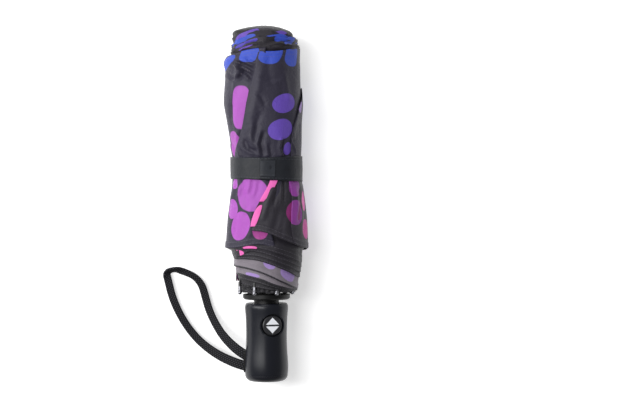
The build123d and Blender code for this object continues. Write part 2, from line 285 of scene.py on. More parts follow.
def paw_mask(t, coord, cell, size, turn=0.0):
    """Staggered rows of generic paw prints, as a mask. coord in millimetres."""
    mp = node(t, "ShaderNodeMapping")
    mp.inputs["Rotation"].default_value = (0, 0, math.radians(turn))
    mp.inputs["Scale"].default_value = (1 / cell, 1 / cell, 1)
    t.links.new(coord, mp.inputs[0])
    s = node(t, "ShaderNodeSeparateXYZ")
    t.links.new(mp.outputs[0], s.inputs[0])
    row = math_node(t, "FLOOR", s.outputs[1])
    odd = math_node(t, "MULTIPLY", math_node(t, "FLOORED_MODULO", row, 2.0), 0.5)
    us = math_node(t, "ADD", s.outputs[0], odd)
    u = math_node(t, "SUBTRACT", math_node(t, "FRACT", us), 0.5)
    v = math_node(t, "SUBTRACT", math_node(t, "FRACT", s.outputs[1]), 0.5)
    cell_id = node(t, "ShaderNodeCombineXYZ")
    t.links.new(math_node(t, "FLOOR", us), cell_id.inputs[0])
    t.links.new(row, cell_id.inputs[1])
    wn = node(t, "ShaderNodeTexWhiteNoise", noise_dimensions="2D")
    t.links.new(cell_id.outputs[0], wn.inputs["Vector"])
    c0 = node(t, "ShaderNodeCombineXYZ")
    t.links.new(u, c0.inputs[0])
    t.links.new(v, c0.inputs[1])
    c = node(t, "ShaderNodeVectorRotate", rotation_type="Z_AXIS")
    t.links.new(c0.outputs[0], c.inputs["Vector"])
    t.links.new(math_node(t, "MULTIPLY", math_node(t, "SUBTRACT", wn.outputs["Value"], 0.5), 2.2), c.inputs["Angle"])
    k = size
    total = None
    for cx, cy, rx, ry, tr, pw in (
        (0, -0.16, 0.30, 0.25, 0, 2.6), (-0.38, 0.06, 0.115, 0.165, 28, 2), (-0.15, 0.30, 0.12, 0.18, 8, 2),
        (0.15, 0.30, 0.12, 0.18, -8, 2), (0.38, 0.06, 0.115, 0.165, -28, 2),
    ):
        b = blob(t, c.outputs[0], cx * k, cy * k, rx * k, ry * k, tr, 0.06, pw)
        total = b if total is None else math_node(t, "MAXIMUM", total, b)
    return total


def cloth(name, shapes=(), paws=None, paws_out=None, base=CHARCOAL, hem=True, dark_hem=None, sheen=0.05):
    """Pongee with a print. shapes: (u, v, ru, rv, turn, colour, power) in millimetres of the print UV map."""
    m, t, b = material(name)
    uv = node(t, "ShaderNodeUVMap", uv_map="print")
    sc = node(t, "ShaderNodeMapping")
    sc.inputs["Scale"].default_value = (1000, 1000, 1)
    t.links.new(uv.outputs[0], sc.inputs[0])
    coord = sc.outputs[0]
    broad = noise(t, coord, 0.045, 4.0, 0.6)
    shade = mix(t, broad, tuple(x * 0.78 for x in base), tuple(min(1, x * 1.28) for x in base))
    colour = shade
    if paws:
        cell, size, turn, stops, axis = paws
        s = node(t, "ShaderNodeSeparateXYZ")
        t.links.new(coord, s.inputs[0])
        pos = node(t, "ShaderNodeMapRange")
        pos.inputs["From Min"].default_value = axis[0]
        pos.inputs["From Max"].default_value = axis[1]
        t.links.new(s.outputs[1], pos.inputs[0])
        inks = ramp(t, pos.outputs[0], stops)
        mask = paw_mask(t, coord, cell, size, turn)
        if paws_out:
            away = math_node(t, "MAXIMUM", math_node(t, "LESS_THAN", s.outputs[0], paws_out[0]), math_node(t, "GREATER_THAN", s.outputs[0], paws_out[1]))
            mask = math_node(t, "MULTIPLY", mask, away)
        colour = mix(t, mask, colour, inks)
    for u, v, ru, rv, turn, ink, power in shapes:
        colour = mix(t, blob(t, coord, u, v, ru, rv, turn, 0.035, power), colour, ink)
    # threads and small creases
    if hem:
        huv = node(t, "ShaderNodeUVMap", uv_map="hem")
        hs = node(t, "ShaderNodeSeparateXYZ")
        t.links.new(huv.outputs[0], hs.inputs[0])
        d = math_node(t, "MULTIPLY", hs.outputs[1], 1000.0)
        if dark_hem:
            colour = mix(t, math_node(t, "LESS_THAN", d, dark_hem), colour, srgb(34, 32, 38))
        stitch = None
        for at in (1.3, 4.4):
            near = math_node(t, "LESS_THAN", math_node(t, "ABSOLUTE", math_node(t, "SUBTRACT", d, at)), 0.16)
            dash = math_node(t, "LESS_THAN", math_node(t, "FRACT", math_node(t, "MULTIPLY", hs.outputs[0], 420.0)), 0.68)
            one = math_node(t, "MULTIPLY", near, dash)
            stitch = one if stitch is None else math_node(t, "MAXIMUM", stitch, one)
        colour = mix(t, math_node(t, "MULTIPLY", stitch, 0.45), colour, srgb(96, 92, 102))
    weave = noise(t, coord, 5.0, 2.0, 0.5, stretch=(1, 1, 1))
    wv = node(t, "ShaderNodeTexWave", wave_type="BANDS", bands_direction="X")
    wv.inputs["Scale"].default_value = 1.1
    wv.inputs["Distortion"].default_value = 0.6
    t.links.new(coord, wv.inputs[0])
    wh = node(t, "ShaderNodeTexWave", wave_type="BANDS", bands_direction="Y")
    wh.inputs["Scale"].default_value = 1.1
    wh.inputs["Distortion"].default_value = 0.6
    t.links.new(coord, wh.inputs[0])
    threads = math_node(t, "MULTIPLY", wv.outputs["Fac"], wh.outputs["Fac"])
    crease = noise(t, coord, 0.16, 5.0, 0.62, 1.2)
    n1 = bump(t, crease, 0.5, 0.0011)
    n2 = bump(t, weave, 0.25, 0.00012, n1)
    n3 = bump(t, threads, 0.2, 0.00008, n2)
    t.links.new(n3, b.inputs["Normal"])
    t.links.new(colour, b.inputs["Base Color"])
    rr = node(t, "ShaderNodeMapRange")
    rr.inputs["To Min"].default_value = 0.44
    rr.inputs["To Max"].default_value = 0.62
    t.links.new(broad, rr.inputs[0])
    t.links.new(rr.outputs[0], b.inputs["Roughness"])
    b.inputs["Specular IOR Level"].default_value = 0.3
    b.inputs["Sheen Weight"].default_value = sheen
    b.inputs["Sheen Roughness"].default_value = 0.45
    return m


# ------------------------------------------------------------------ outline of the folded canopy
_OUT = np.array([   # row, left, right
    (25.0, 261, 270), (26.0, 250.4, 279.6), (27.6, 240.6, 287.4), (29.6, 232.4, 293), (31.6, 225.8, 297.8), (34, 225.0, 300.2), (40, 226.6, 300.6), (46, 228.6, 300),
    (50, 229, 299.6), (55, 228.2, 299), (59, 225.6, 298.8), (62, 224.0, 298.6), (65, 223.9, 298.8), (70, 225.4, 299), (76, 226.0, 299),
    (90, 225.2, 299.4), (96, 224.7, 299.8), (105, 224.4, 300.2), (115, 225.8, 300.2), (130, 227.8, 300),
    (145, 230.1, 299.8), (157, 232.4, 299.2), (180, 232.6, 299.4), (187, 232, 301), (198, 230.2, 302.4), (216, 228, 304.4),
    (228, 227.1, 305.4), (240, 226.4, 306), (247.6, 226, 305.6), (249.5, 230.6, 303.4), (257, 232.8, 302.2), (266, 233.0, 301.8),
    (275, 234.4, 301.2), (285, 236.8, 300), (293, 239, 298)])


def outline(py):
    left = fx(np.interp(py, _OUT[:, 0], _OUT[:, 1]))
    right = fx(np.interp(py, _OUT[:, 0], _OUT[:, 2]))
    return (left + right) / 2, (right - left) / 2


_TOP = np.array([(25.6, 7), (26.6, 13), (28.4, 18), (30.5, 22), (33, 24.5), (37, 25.6), (50, 26.4), (64, 27.0), (99, 27.4), (130, 26.6), (150, 25.6),
                 (157, 25.2), (180, 25.2), (195, 26.2), (220, 27.2), (247, 27.2), (252, 26.8), (266, 26.6), (280, 26.6), (293, 26.2)])


def height(py):
    return np.interp(py, _TOP[:, 0], _TOP[:, 1])


def place(theta, py, off, floor=0.25):
    """Point of the bundle at angle theta (0 up, 90 right), row py and offset off outward, in millimetres."""
    theta, py, off = np.broadcast_arrays(np.asarray(theta, float), np.asarray(py, float), np.asarray(off, float))
    cx, w = outline(py)
    h = height(py)
    s, c = np.sin(np.radians(theta)), np.cos(np.radians(theta))
    q = (np.abs(s) ** 2.25 + np.abs(c) ** 2.25) ** (-1 / 2.25)
    x = cx + (w + off) * s * q
    z = AXZ + (h + off) * c * q
    z = np.where(z < floor, floor + 0.0 * z, z)
    return np.stack([x, fa(py) - MID, z], -1)


def theta_of(px, py, off=0.0):
    """Angle on the upper side at which the bundle shows at a column of the view."""
    cx, w = outline(py)
    k = np.clip((fx(px) - cx) / (w + off), -0.999, 0.999)
    th = np.degrees(np.arcsin(k))
    for _ in range(12):
        s, c = np.sin(np.radians(th)), np.cos(np.radians(th))
        q = (np.abs(s) ** 2.25 + np.abs(c) ** 2.25) ** (-1 / 2.25)
        th = th + np.degrees(k - s * q) * 0.8
        th = np.clip(th, -89.5, 89.5)
    return th


REACH = 1209.0


def view(px, py):
    """Angle and row of the bundle's point that the camera sees at a column and row of the view."""
    k, th = 1.0, 0.0
    for _ in range(6):
        x, y = 320 + (px - 320) * k, 200 + (py - 200) * k
        th = float(theta_of(x, y))
        k = 1 - (float(place(th, y, 0.0)[..., 2]) - AXZ) / REACH
    return th, y


def seen(theta, py, off=0.0):
    """Column and row of the view at which a point of the bundle shows."""
    p = place(theta, py, off)
    k = REACH / (REACH - (p[..., 2] - AXZ))
    x = p[..., 0] / 0.8 + 266.5
    return 320 + (x - 320) * k, 200 + (py - 200) * k


def around(theta, py):
    """Arc length round the bundle, millimetres, 0 at the top."""
    _, w = outline(py)
    r = (w + height(py)) / 2
    return np.radians(theta) * r * 1.06


def smooth(a, b, x):
    t = np.clip((x - a) / (b - a), 0, 1)
    return t * t * (3 - 2 * t)


def curve(points):
    """A smooth function through (x, y) points."""
    p = np.array(points, float)

    def f(x):
        x = np.clip(x, p[0, 0], p[-1, 0])
        i = np.clip(np.searchsorted(p[:, 0], x) - 1, 0, len(p) - 2)
        d = np.gradient(p[:, 1], p[:, 0])
        h = p[i + 1, 0] - p[i, 0]
        t = (x - p[i, 0]) / h
        return ((2 * t ** 3 - 3 * t ** 2 + 1) * p[i, 1] + (t ** 3 - 2 * t ** 2 + t) * h * d[i]
                + (-2 * t ** 3 + 3 * t ** 2) * p[i + 1, 1] + (t ** 3 - t ** 2) * h * d[i + 1])
    return f


def ripple(theta, py, seed, amp=0.5):
    """Soft wrinkles of the cloth, millimetres."""
    r = np.random.default_rng(seed)
    out = np.zeros(np.broadcast(theta, py).shape)
    for _ in range(9):
        kx, ky = r.normal(0, 0.09), r.normal(0, 0.05)
        out = out + r.uniform(0.3, 1.0) * np.sin(theta * kx + py * ky + r.uniform(0, 6.28))
    # pleats that run into the band
    near = np.exp(-np.abs(py - 168) / 16.0)
    for k in range(5):
        f = r.uniform(0.10, 0.28)
        out = out + 2.2 * near * np.sin(theta * f + r.uniform(0, 6.28)) * r.uniform(0.4, 1)
    return out * amp / 2.2


def build(name, verts, faces, uv, hemuv, mats, index=None, smooth_shade=True):
    me = bpy.data.meshes.new(name)
    me.from_pydata([tuple(v) for v in verts], [], [tuple(f) for f in faces])
    loops = np.zeros(len(me.loops), int)
    me.loops.foreach_get("vertex_index", loops)
    for label, co in (("print", uv), ("hem", hemuv)):
        layer = me.uv_layers.new(name=label)
        layer.data.foreach_set("uv", np.asarray(co, float)[loops].astype(np.float32).ravel())
    for m in mats:
        me.materials.append(m)
    if index is not None:
        me.polygons.foreach_set("material_index", np.asarray(index, np.int32))
    me.polygons.foreach_set("use_smooth", [smooth_shade] * len(me.polygons))
    me.update()
    me.validate()
    o = bpy.data.objects.new(name, me)
    SC.collection.objects.link(o)
    return o


def sheet_mesh(name, outer, inner, uv, hemuv, mats, closed=False):
    """A closed thin sheet from two grids of points (rows along v, columns along u)."""
    nv, nu = outer.shape[:2]
    verts = np.concatenate([outer.reshape(-1, 3), inner.reshape(-1, 3)]) * MM
    k = nv * nu
    faces, idx = [], []
    cols = nu if closed else nu - 1
    for j in range(nv - 1):
        for i in range(cols):
            a, b = j * nu + i, j * nu + (i + 1) % nu
            c, d = b + nu, a + nu
            faces.append((a, b, c, d)); idx.append(0)
            faces.append((k + d, k + c, k + b, k + a)); idx.append(1)
    for i in range(cols):
        a, b = i, (i + 1) % nu
        faces.append((b, a, k + a, k + b)); idx.append(0)
        a, b = (nv - 1) * nu + i, (nv - 1) * nu + (i + 1) % nu
        faces.append((a, b, k + b, k + a)); idx.append(0)
    if not closed:
        for j in range(nv - 1):
            a, b = j * nu, (j + 1) * nu
            faces.append((a, b, k + b, k + a)); idx.append(0)
            a, b = j * nu + nu - 1, (j + 1) * nu + nu - 1
            faces.append((b, a, k + a, k + b)); idx.append(0)
    uv2 = np.concatenate([uv.reshape(-1, 2)] * 2)
    hm2 = np.concatenate([hemuv.reshape(-1, 2)] * 2)
    if len(mats) == 1:
        idx = [0] * len(idx)
    return build(name, verts, faces, uv2, hm2, mats, idx)


CANOPY = []


def fold(name, left, right, bottom, top, off, mats, nu=90, nv=110, thick=0.55, seed=1, amp=0.5, hem_lift=0.35, edge_lift=0.0,
         turn=(0.0, 0.0, 0.0), side_lift=(0.0, 0.0), floor=0.3, closed=False, extra=None, hem_side="bottom", under_band=True, deep=None):
    """One layer of cloth. left/right: functions of row giving theta; bottom/top: functions of theta giving the row; off: function (theta, py) of offset."""
    u = np.linspace(0, 1, nu, endpoint=not closed)
    v = np.linspace(0, 1, nv)
    V, U = np.meshgrid(v, u, indexing="ij")
    py = np.full(V.shape, 170.0)
    for _ in range(8):
        th = left(py) * (1 - U) + right(py) * U
        py = bottom(th) * (1 - V) + top(th) * V
    th = left(py) * (1 - U) + right(py) * U
    o = off(th, py) + ripple(th, py, seed, amp)
    # distance from the hem, along the shaft
    dist = np.abs(py - (bottom(th) if hem_side == "bottom" else top(th))) * 0.8
    o = o + hem_lift * (1 - smooth(4.9, 5.6, dist)) + edge_lift * np.exp(-dist / 7.0)
    span = np.abs(np.radians(right(py) - left(py))) * 30 + 1e-6
    o = o + side_lift[0] * np.exp(-U * span / 4.0) + side_lift[1] * np.exp(-(1 - U) * span / 4.0)
    if extra is not None:
        o = o + extra(th, py)
    if deep:
        o = o - deep[2] * (smooth(deep[0], deep[1], py) if deep[1] > deep[0] else 1 - smooth(deep[1], deep[0], py))
    if under_band:
        room = 0.55 + 9.0 * (1 - smooth(153.5, 158.5, py)) + 9.0 * smooth(179.5, 184.5, py)
        o = np.minimum(o, room)
    outer = place(th, py, o, floor)
    inner = place(th, py, o - thick, max(0.05, floor - thick))
    s = around(th, py)
    c, sn = math.cos(math.radians(turn[2])), math.sin(math.radians(turn[2]))
    a = fa(py)
    uv = np.stack([(s * c - a * sn + turn[0]), (s * sn + a * c + turn[1])], -1) * MM
    hem = np.stack([s, dist], -1) * MM
    ob = sheet_mesh(name, outer, inner, uv, hem, mats, closed)
    CANOPY.append(ob)
    return ob


def shape_at(px0, py0, px1, py1, ink, turn=0.0, power=2.0):
    """A shape of the print from its box in the view, as it lies on the cloth."""
    cx, cy = (px0 + px1) / 2, (py0 + py1) / 2
    (t0, r), (t1, _) = view(px0, cy), view(px1, cy)
    tc, rc = view(cx, cy)
    s0, s1 = float(around(t0, r)), float(around(t1, r))
    return ((s0 + s1) / 2, float(fa(rc)), abs(s1 - s0) / 2, abs(py1 - py0) * 0.4 * 0.98, turn, ink, power)


const = lambda v: (lambda x: np.zeros(np.shape(x)) + v)


def edge(points):
    """Angle as a function of row, through points of the view."""
    return curve(sorted((row, th) for th, row in (view(px, py) for px, py in points)))


def rows(points, left=None, right=None):
    """Row as a function of angle, through points of the view; left and right carry it on round the back."""
    p = [view(px, py) for px, py in points]
    if left:
        p = list(left) + p
    if right:
        p = p + list(right)
    return curve(p)


def ridges(items):
    """Creases and folds given by lines of the view: (points, width, height, kind)."""
    def f(theta, py):
        px, py = seen(theta, py)
        front = smooth(-0.05, 0.12, np.cos(np.radians(theta)))
        total = np.zeros(px.shape)
        for pts, width, high, kind in items:
            best = np.full(px.shape, 1e9)
            sign = np.zeros(px.shape)
            along = np.zeros(px.shape)
            n = len(pts) - 1
            for i in range(n):
                (x0, y0), (x1, y1) = pts[i], pts[i + 1]
                dx, dy = x1 - x0, y1 - y0
                L2 = dx * dx + dy * dy
                t = np.clip(((px - x0) * dx + (py - y0) * dy) / L2, 0, 1)
                ex, ey = px - (x0 + t * dx), py - (y0 + t * dy)
                d = np.hypot(ex, ey)
                near = d < best
                best = np.where(near, d, best)
                sign = np.where(near, np.sign(dx * ey - dy * ex), sign)
                along = np.where(near, (i + t) / n, along)
            taper = np.clip(np.minimum(along, 1 - along) * 5, 0, 1) if kind != "step" else 1.0
            g = np.exp(-(best / width) ** 2)
            if kind == "ridge":
                v = g
            elif kind == "valley":
                v = -g
            elif kind == "crease":          # a hollow with a lip on its one side
                k = sign * best / width
                v = -np.exp(-k ** 2) + 0.8 * np.exp(-((k - 1.7) / 0.9) ** 2)
            else:                           # step: higher on the positive side
                v = 0.5 + 0.5 * np.tanh(sign * best / width)
            total = total + 1.35 * v * high * front * taper
        return total
    return f


def stroke_at(px0, py0, px1, py1, wide, ink, power=2.0):
    """A long shape of the print between two points of the view."""
    (t0, r0), (t1, r1) = view(px0, py0), view(px1, py1)
    s0, s1 = float(around(t0, r0)), float(around(t1, r1))
    a0, a1 = float(fa(r0)), float(fa(r1))
    return ((s0 + s1) / 2, (a0 + a1) / 2, math.hypot(s1 - s0, a1 - a0) / 2, wide * 0.4, math.degrees(math.atan2(a1 - a0, s1 - s0)), ink, power)


STOPS = [(0.0, PINK), (0.22, ORCHID), (0.5, PURPLE), (0.78, DEEP_BLUE), (1.0, BLUE)]
PRINT = (46, 0.92, 12, STOPS, (60, 290))
LINING = cloth("canopy_reverse", base=GREY, sheen=0.1)
GENERIC = cloth("canopy_print", paws=PRINT)
BACK = dict(paws=(42, 0.9, 8, STOPS, (40, 285)), paws_out=(-54, 54))

# the core of the bundle: cloth gathered round the ribs; its near-black base colour, darker than the same cloth in the
# open panels, is painted shade deep in the folds
def pleats(th, py):
    k = smooth(262, 280, py)
    r = np.radians(th)
    return k * (0.8 * np.sin(5 * r - (py - 262) * 0.62) + 0.6 * np.sin(11 * r - py * 0.85 + 1) + 0.4 * np.sin(31 * r + py * 0.3 + 2))

fold("canopy_core", const(-180.0), const(180.0), lambda th: 291.8 + 0.5 * np.sin(np.radians(th * 7 + 20)) + 0.5 * np.sin(np.radians(th * 17 + 70)), const(26.0),
     lambda th, py: -5.8 + 1.3 * smooth(230, 262, py), [cloth("canopy_core_painted_shade", base=srgb(24, 23, 27)), LINING], nu=200, nv=150, seed=3, amp=0.7, closed=True, hem_lift=0.0, floor=2.6, extra=pleats)

# cloth gathered at the crown, one turn over another
SW = [
    # name, offset, top edge (points of the view), bottom row, shapes
    ("canopy_crown_turn1", -4.9, [(231, 34.2), (240, 30.4), (252, 27.6), (262, 26.4), (275, 28), (290, 31.6), (295, 34.5)], 60,
     [stroke_at(230, 40.8, 258, 28.8, 5.2, PURPLE, 3), stroke_at(267, 35.5, 292, 31.0, 4.8, PURPLE, 3)]),
    ("canopy_crown_turn2", -4.0, [(230.8, 41.5), (240, 36.2), (252, 31.2), (262, 29.6), (275, 31.6), (288, 34.2), (296, 36)], 62,
     [stroke_at(229, 46.6, 254, 34.4, 5.0, BLUE, 3), stroke_at(260, 38.6, 294, 34.2, 4.4, BLUE, 3)]),
    ("canopy_crown_turn3", -3.2, [(230.4, 45.5), (240, 42), (252, 36.8), (262, 35.6), (275, 36.6), (288, 36.4), (296.4, 37.5)], 64,
     [stroke_at(230, 50.6, 257, 38.6, 3.8, srgb(74, 62, 166), 3), (stroke_at(276, 38.8, 298, 38.2, 5.6, BLUE, 4.0))]),
    ("canopy_crown_turn4", -2.4, [(230, 49), (240, 46), (252, 41.6), (262, 40.4), (275, 41), (288, 40.4), (297, 41.5)], 66,
     [stroke_at(286, 42.8, 300, 42.4, 3.4, BLUE, 4.0), stroke_at(236, 50.5, 252, 44.5, 1.6, PURPLE, 2.4)]),
    ("canopy_crown_turn5", -1.6, [(229.6, 52.5), (240, 50), (252, 45.6), (262, 44.2), (275, 44.4), (288, 44.2), (297.6, 44.8)], 68, []),
    ("canopy_crown_turn6", -0.8, [(229, 55.5), (240, 52), (252, 48.4), (262, 46.4), (275, 46.6), (288, 46.4), (298, 46.8)], 72, []),
]
for k, (nm, off, top, low, shp) in enumerate(SW):
    pts = [view(px, py) for px, py in top]
    l, r = pts[0][1], pts[-1][1]
    tf = curve([(-182, (l + r) / 2)] + pts + [(182, (l + r) / 2)])
    wob = lambda th, tf=tf, k=k: tf(th) + 0.5 * np.sin(np.radians(th * 9 + 50 * k)) + 0.35 * np.sin(np.radians(th * 23 + 90 * k))
    fold(nm, const(-180.0), const(180.0), const(low), wob, lambda th, py, off=off: off + 0 * py, [cloth(nm + "_print", shapes=shp, base=srgb(36, 33, 40), hem=False), LINING],
         nu=220, nv=56, seed=20 + k, amp=0.6, closed=True, hem_side="top", hem_lift=0.0, edge_lift=0.55, floor=2.2 - 0.2 * k, deep=(50, 57, 2.6),
         extra=ridges([([(231, 60 - 3 * k), (246, 47 - 2 * k), (262, 40)], 1.6, 0.5, "crease"), ([(262, 44), (280, 40), (299, 44)], 1.5, 0.45, "crease")]))

# left-hand layer above the band
fold("canopy_layer_left", const(-205.0), edge([(266, 45), (266, 80), (262, 110), (256, 140), (252, 172)]), const(172.0),
     rows([(224.5, 59), (228, 56), (234, 54.4), (241, 51.4), (250, 49.2), (258, 48)], left=[(-206, 50), (-150, 52)], right=[(40, 50)]),
     lambda th, py: -0.1 + 0 * py,
     [cloth("canopy_layer_left_print", shapes=[
         shape_at(223, 57.5, 235, 67.5, BLUE, 20, 2.2), shape_at(240.5, 46, 258.5, 62, BLUE, 0, 2.8),
         shape_at(232.0, 85.6, 250, 129.0, ORCHID, -5, 2.9), shape_at(230.5, 131, 241, 158, srgb(156, 72, 164), 8, 2.3)], **BACK), LINING],
     seed=5, amp=0.55, hem_side="top", hem_lift=0.0, edge_lift=0.4, floor=0.9,
     extra=ridges([
         ([(236, 62), (246, 66), (255, 71.5)], 1.5, 1.7, "crease"), ([(238, 70), (247, 73), (253, 80)], 1.6, 1.5, "crease"),
         ([(232, 60), (240, 64), (243, 72), (238, 82)], 1.7, 1.6, "crease"), ([(245, 56), (249, 61), (256, 64)], 1.2, 1.2, "crease"),
         ([(237, 58), (238, 66), (236, 80), (233, 96)], 2.4, 0.9, "ridge"), ([(227, 72), (232, 78), (238, 80)], 1.6, 0.8, "crease"),
         ([(233, 96), (231, 120), (234, 150)], 2.6, 0.7, "valley"), ([(241, 128), (240, 140), (243, 158)], 1.6, 0.8, "crease"),
         ([(248, 122), (246, 140), (250, 158)], 2.0, 0.7, "ridge"), ([(230, 140), (234, 150), (236, 160)], 1.4, 0.7, "crease")]))

# the wide lobe in front, above the band
fold("canopy_lobe_front", edge([(257.6, 47), (257, 56), (255.4, 64), (252.8, 76), (249.6, 88), (247.2, 100), (244.8, 115), (242.4, 128), (239.4, 140), (236, 152), (234.6, 160), (233.6, 172)]),
     const(168.0), const(172.0),
     rows([(256.6, 49.6), (264, 50.8), (275, 51), (284, 50), (291, 48.8), (298, 48.4)], right=[(95, 48.6), (169, 49)]),
     lambda th, py: 0.9 + 0.25 * smooth(60, 120, py) + 0 * th,
     [cloth("canopy_lobe_front_print", shapes=[
         shape_at(259.6, 40, 282.4, 64, BLUE, 0, 2.5), shape_at(285, 43, 296.4, 66.4, BLUE, 0, 2.8),
         stroke_at(272.6, 107.6, 292.8, 99.2, 18.0, PURPLE, 2.1), stroke_at(268.6, 134.6, 290.4, 124.4, 19.4, PURPLE, 2.1),
         shape_at(283.5, 142, 290, 155, PURPLE, -16, 2.0)]), LINING],
     seed=8, amp=0.35, hem_side="top", hem_lift=0.0, edge_lift=-0.9, side_lift=(-0.5, 0.0), floor=0.9,
     extra=ridges([
         ([(262, 62), (258, 90), (252, 118), (246, 146)], 3.6, 0.7, "ridge"), ([(270, 52), (268, 70), (272, 88)], 3.0, 0.4, "valley"),
         ([(258, 76), (268, 80), (280, 79)], 2.0, 0.35, "crease"), ([(256, 92), (262, 98), (266, 108)], 2.0, 0.5, "crease"),
         ([(262, 110), (257, 124), (256, 140)], 2.4, 0.6, "valley"), ([(254, 120), (252, 136), (254, 156)], 2.0, 0.7, "ridge"),
         ([(264, 130), (261, 144), (264, 158)], 1.8, 1.4, "crease"), ([(269, 142), (270, 150), (272, 160)], 1.5, 0.7, "crease"),
         ([(244, 139), (248, 148), (257, 153)], 1.6, 1.4, "crease"), ([(250, 134), (253, 142), (262, 150)], 1.6, 0.6, "ridge"),
         ([(283, 70), (286, 90), (289, 104)], 2.6, 0.6, "ridge"), ([(284, 136), (282, 148), (286, 160)], 1.6, 1.2, "crease"),
         ([(241, 148), (243, 154), (246, 162)], 1.3, 0.7, "crease")]))

# the fold that closes it on the right
fold("canopy_fold_right", edge([(300.6, 84), (299.4, 92), (297.6, 104), (294.4, 118), (291, 132), (289.6, 146), (290, 160), (290.4, 172)]), const(205.0), const(172.0),
     rows([(298, 88)], left=[(40, 92)], right=[(110, 88), (206, 84)]),
     lambda th, py: 1.3 + 1.3 * np.exp(-((py - 103) / 14.0) ** 2) + 0.3 * smooth(120, 150, py) + 0 * th,
     [cloth("canopy_fold_right_print", shapes=[shape_at(295.6, 100, 298.8, 113, LILAC, 0, 2.0)], **BACK), LINING],
     seed=9, amp=0.4, hem_side="top", hem_lift=0.0, side_lift=(0.5, 0.0), floor=0.7,
     extra=ridges([([(291, 138), (295, 146), (298, 156)], 1.4, 0.9, "crease"), ([(299, 118), (296, 134), (296, 150)], 1.6, 0.6, "valley")]))

# below the band: the layers from the inside out
# the two innermost turns get a near-black base colour, darker than the same cloth in the open panels: painted shade
# deep in the folds
for k, (off, pts) in enumerate((
        (-3.75, [(239, 284.5), (250, 287), (262, 289.4), (274, 291), (286, 291.6), (297, 291)]),
        (-3.2, [(237, 279), (248, 281.6), (260, 284.6), (272, 288), (284, 290.6), (297, 291.4)]))):
    fold(f"canopy_edge_turn{k + 1}", const(-180.0), const(180.0), rows(pts, left=[(-182, 288), (-110, 282 - 3 * k)], right=[(110, 292), (182, 288)]), const(244.0),
         lambda th, py, off=off: off + 0 * py, [cloth(f"canopy_edge_turn{k + 1}_print", base=srgb(26, 24, 29)), LINING],
         nu=150, nv=44, seed=50 + k, amp=0.25, closed=True, deep=(256, 244, 2.0), floor=2.1, hem_lift=0.4, edge_lift=0.3)
fold("canopy_reverse_lower", const(-180.0), const(180.0),
     rows([(240, 275.5), (250, 278), (262, 281), (272, 285), (284, 288.5)], left=[(-182, 284), (-110, 276)], right=[(110, 290), (182, 284)]), const(240.0),
     lambda th, py: -2.55 + 0 * py,
     [cloth("canopy_reverse_lower_cloth", base=GREY, shapes=[stroke_at(244, 273.4, 259, 276.6, 3.6, LILAC, 2.4)], dark_hem=1.5, sheen=0.1), LINING],
     nu=150, nv=50, seed=11, amp=0.3, closed=True, deep=(252, 240, 2.0), floor=1.9, hem_lift=0.5, edge_lift=0.3)
fold("canopy_reverse_upper", const(-180.0), const(180.0),
     rows([(235.5, 267), (246, 269.2), (258, 272.4), (270, 277), (283, 283), (297, 289)], left=[(-182, 278), (-110, 266)], right=[(110, 290), (182, 278)]), const(236.0),
     lambda th, py: -1.9 + 0 * py,
     [cloth("canopy_reverse_upper_cloth", base=GREY, shapes=[shape_at(263, 258, 277, 269, LILAC, -22, 2.2), shape_at(281, 266, 297, 281, LILAC, -26, 2.2)], dark_hem=1.4, sheen=0.1), LINING],
     nu=150, nv=60, seed=12, amp=0.3, closed=True, deep=(250, 240, 2.4), floor=1.7, hem_lift=0.5, edge_lift=0.5)
for k, (off, pts) in enumerate((
        (-1.5, [(234.5, 259), (246, 259.4), (258, 261), (270, 264.6), (284, 270), (299, 277)]),
        (-1.15, [(234, 257.6), (246, 256), (258, 257), (270, 260.4), (284, 265.4), (300, 272)]),
        (-0.8, [(232, 255.8), (242, 255), (250, 251.6), (258, 252.6), (270, 256), (284, 261), (300, 267.4)]),
        (-0.45, [(230, 250), (240, 249), (248, 248.6), (258, 249), (270, 251.6), (284, 256), (300, 262.6)]))):
    fold(f"canopy_hem_turn{k + 1}", const(-180.0), const(180.0), rows(pts, left=[(-182, 264 - 2 * k), (-110, 256 - 2 * k)], right=[(110, 276 - 5 * k), (182, 264 - 2 * k)]), const(225.0),
         lambda th, py, off=off: off + 0 * py,
         [cloth(f"canopy_hem_turn{k + 1}_print", base=srgb(34, 31, 38), shapes=([stroke_at(233.5, 252.6, 244, 253.4, 6.0, PINK, 2.6)] if k == 2 else [stroke_at(243, 247.6, 257, 247.9, 3.4, PINK, 2.4)] if k == 3 else [])), LINING],
         nu=150, nv=40, seed=30 + k, amp=0.45, closed=True, deep=(246, 236, 2.6), floor=1.5 - 0.2 * k, hem_lift=0.45, edge_lift=0.25)

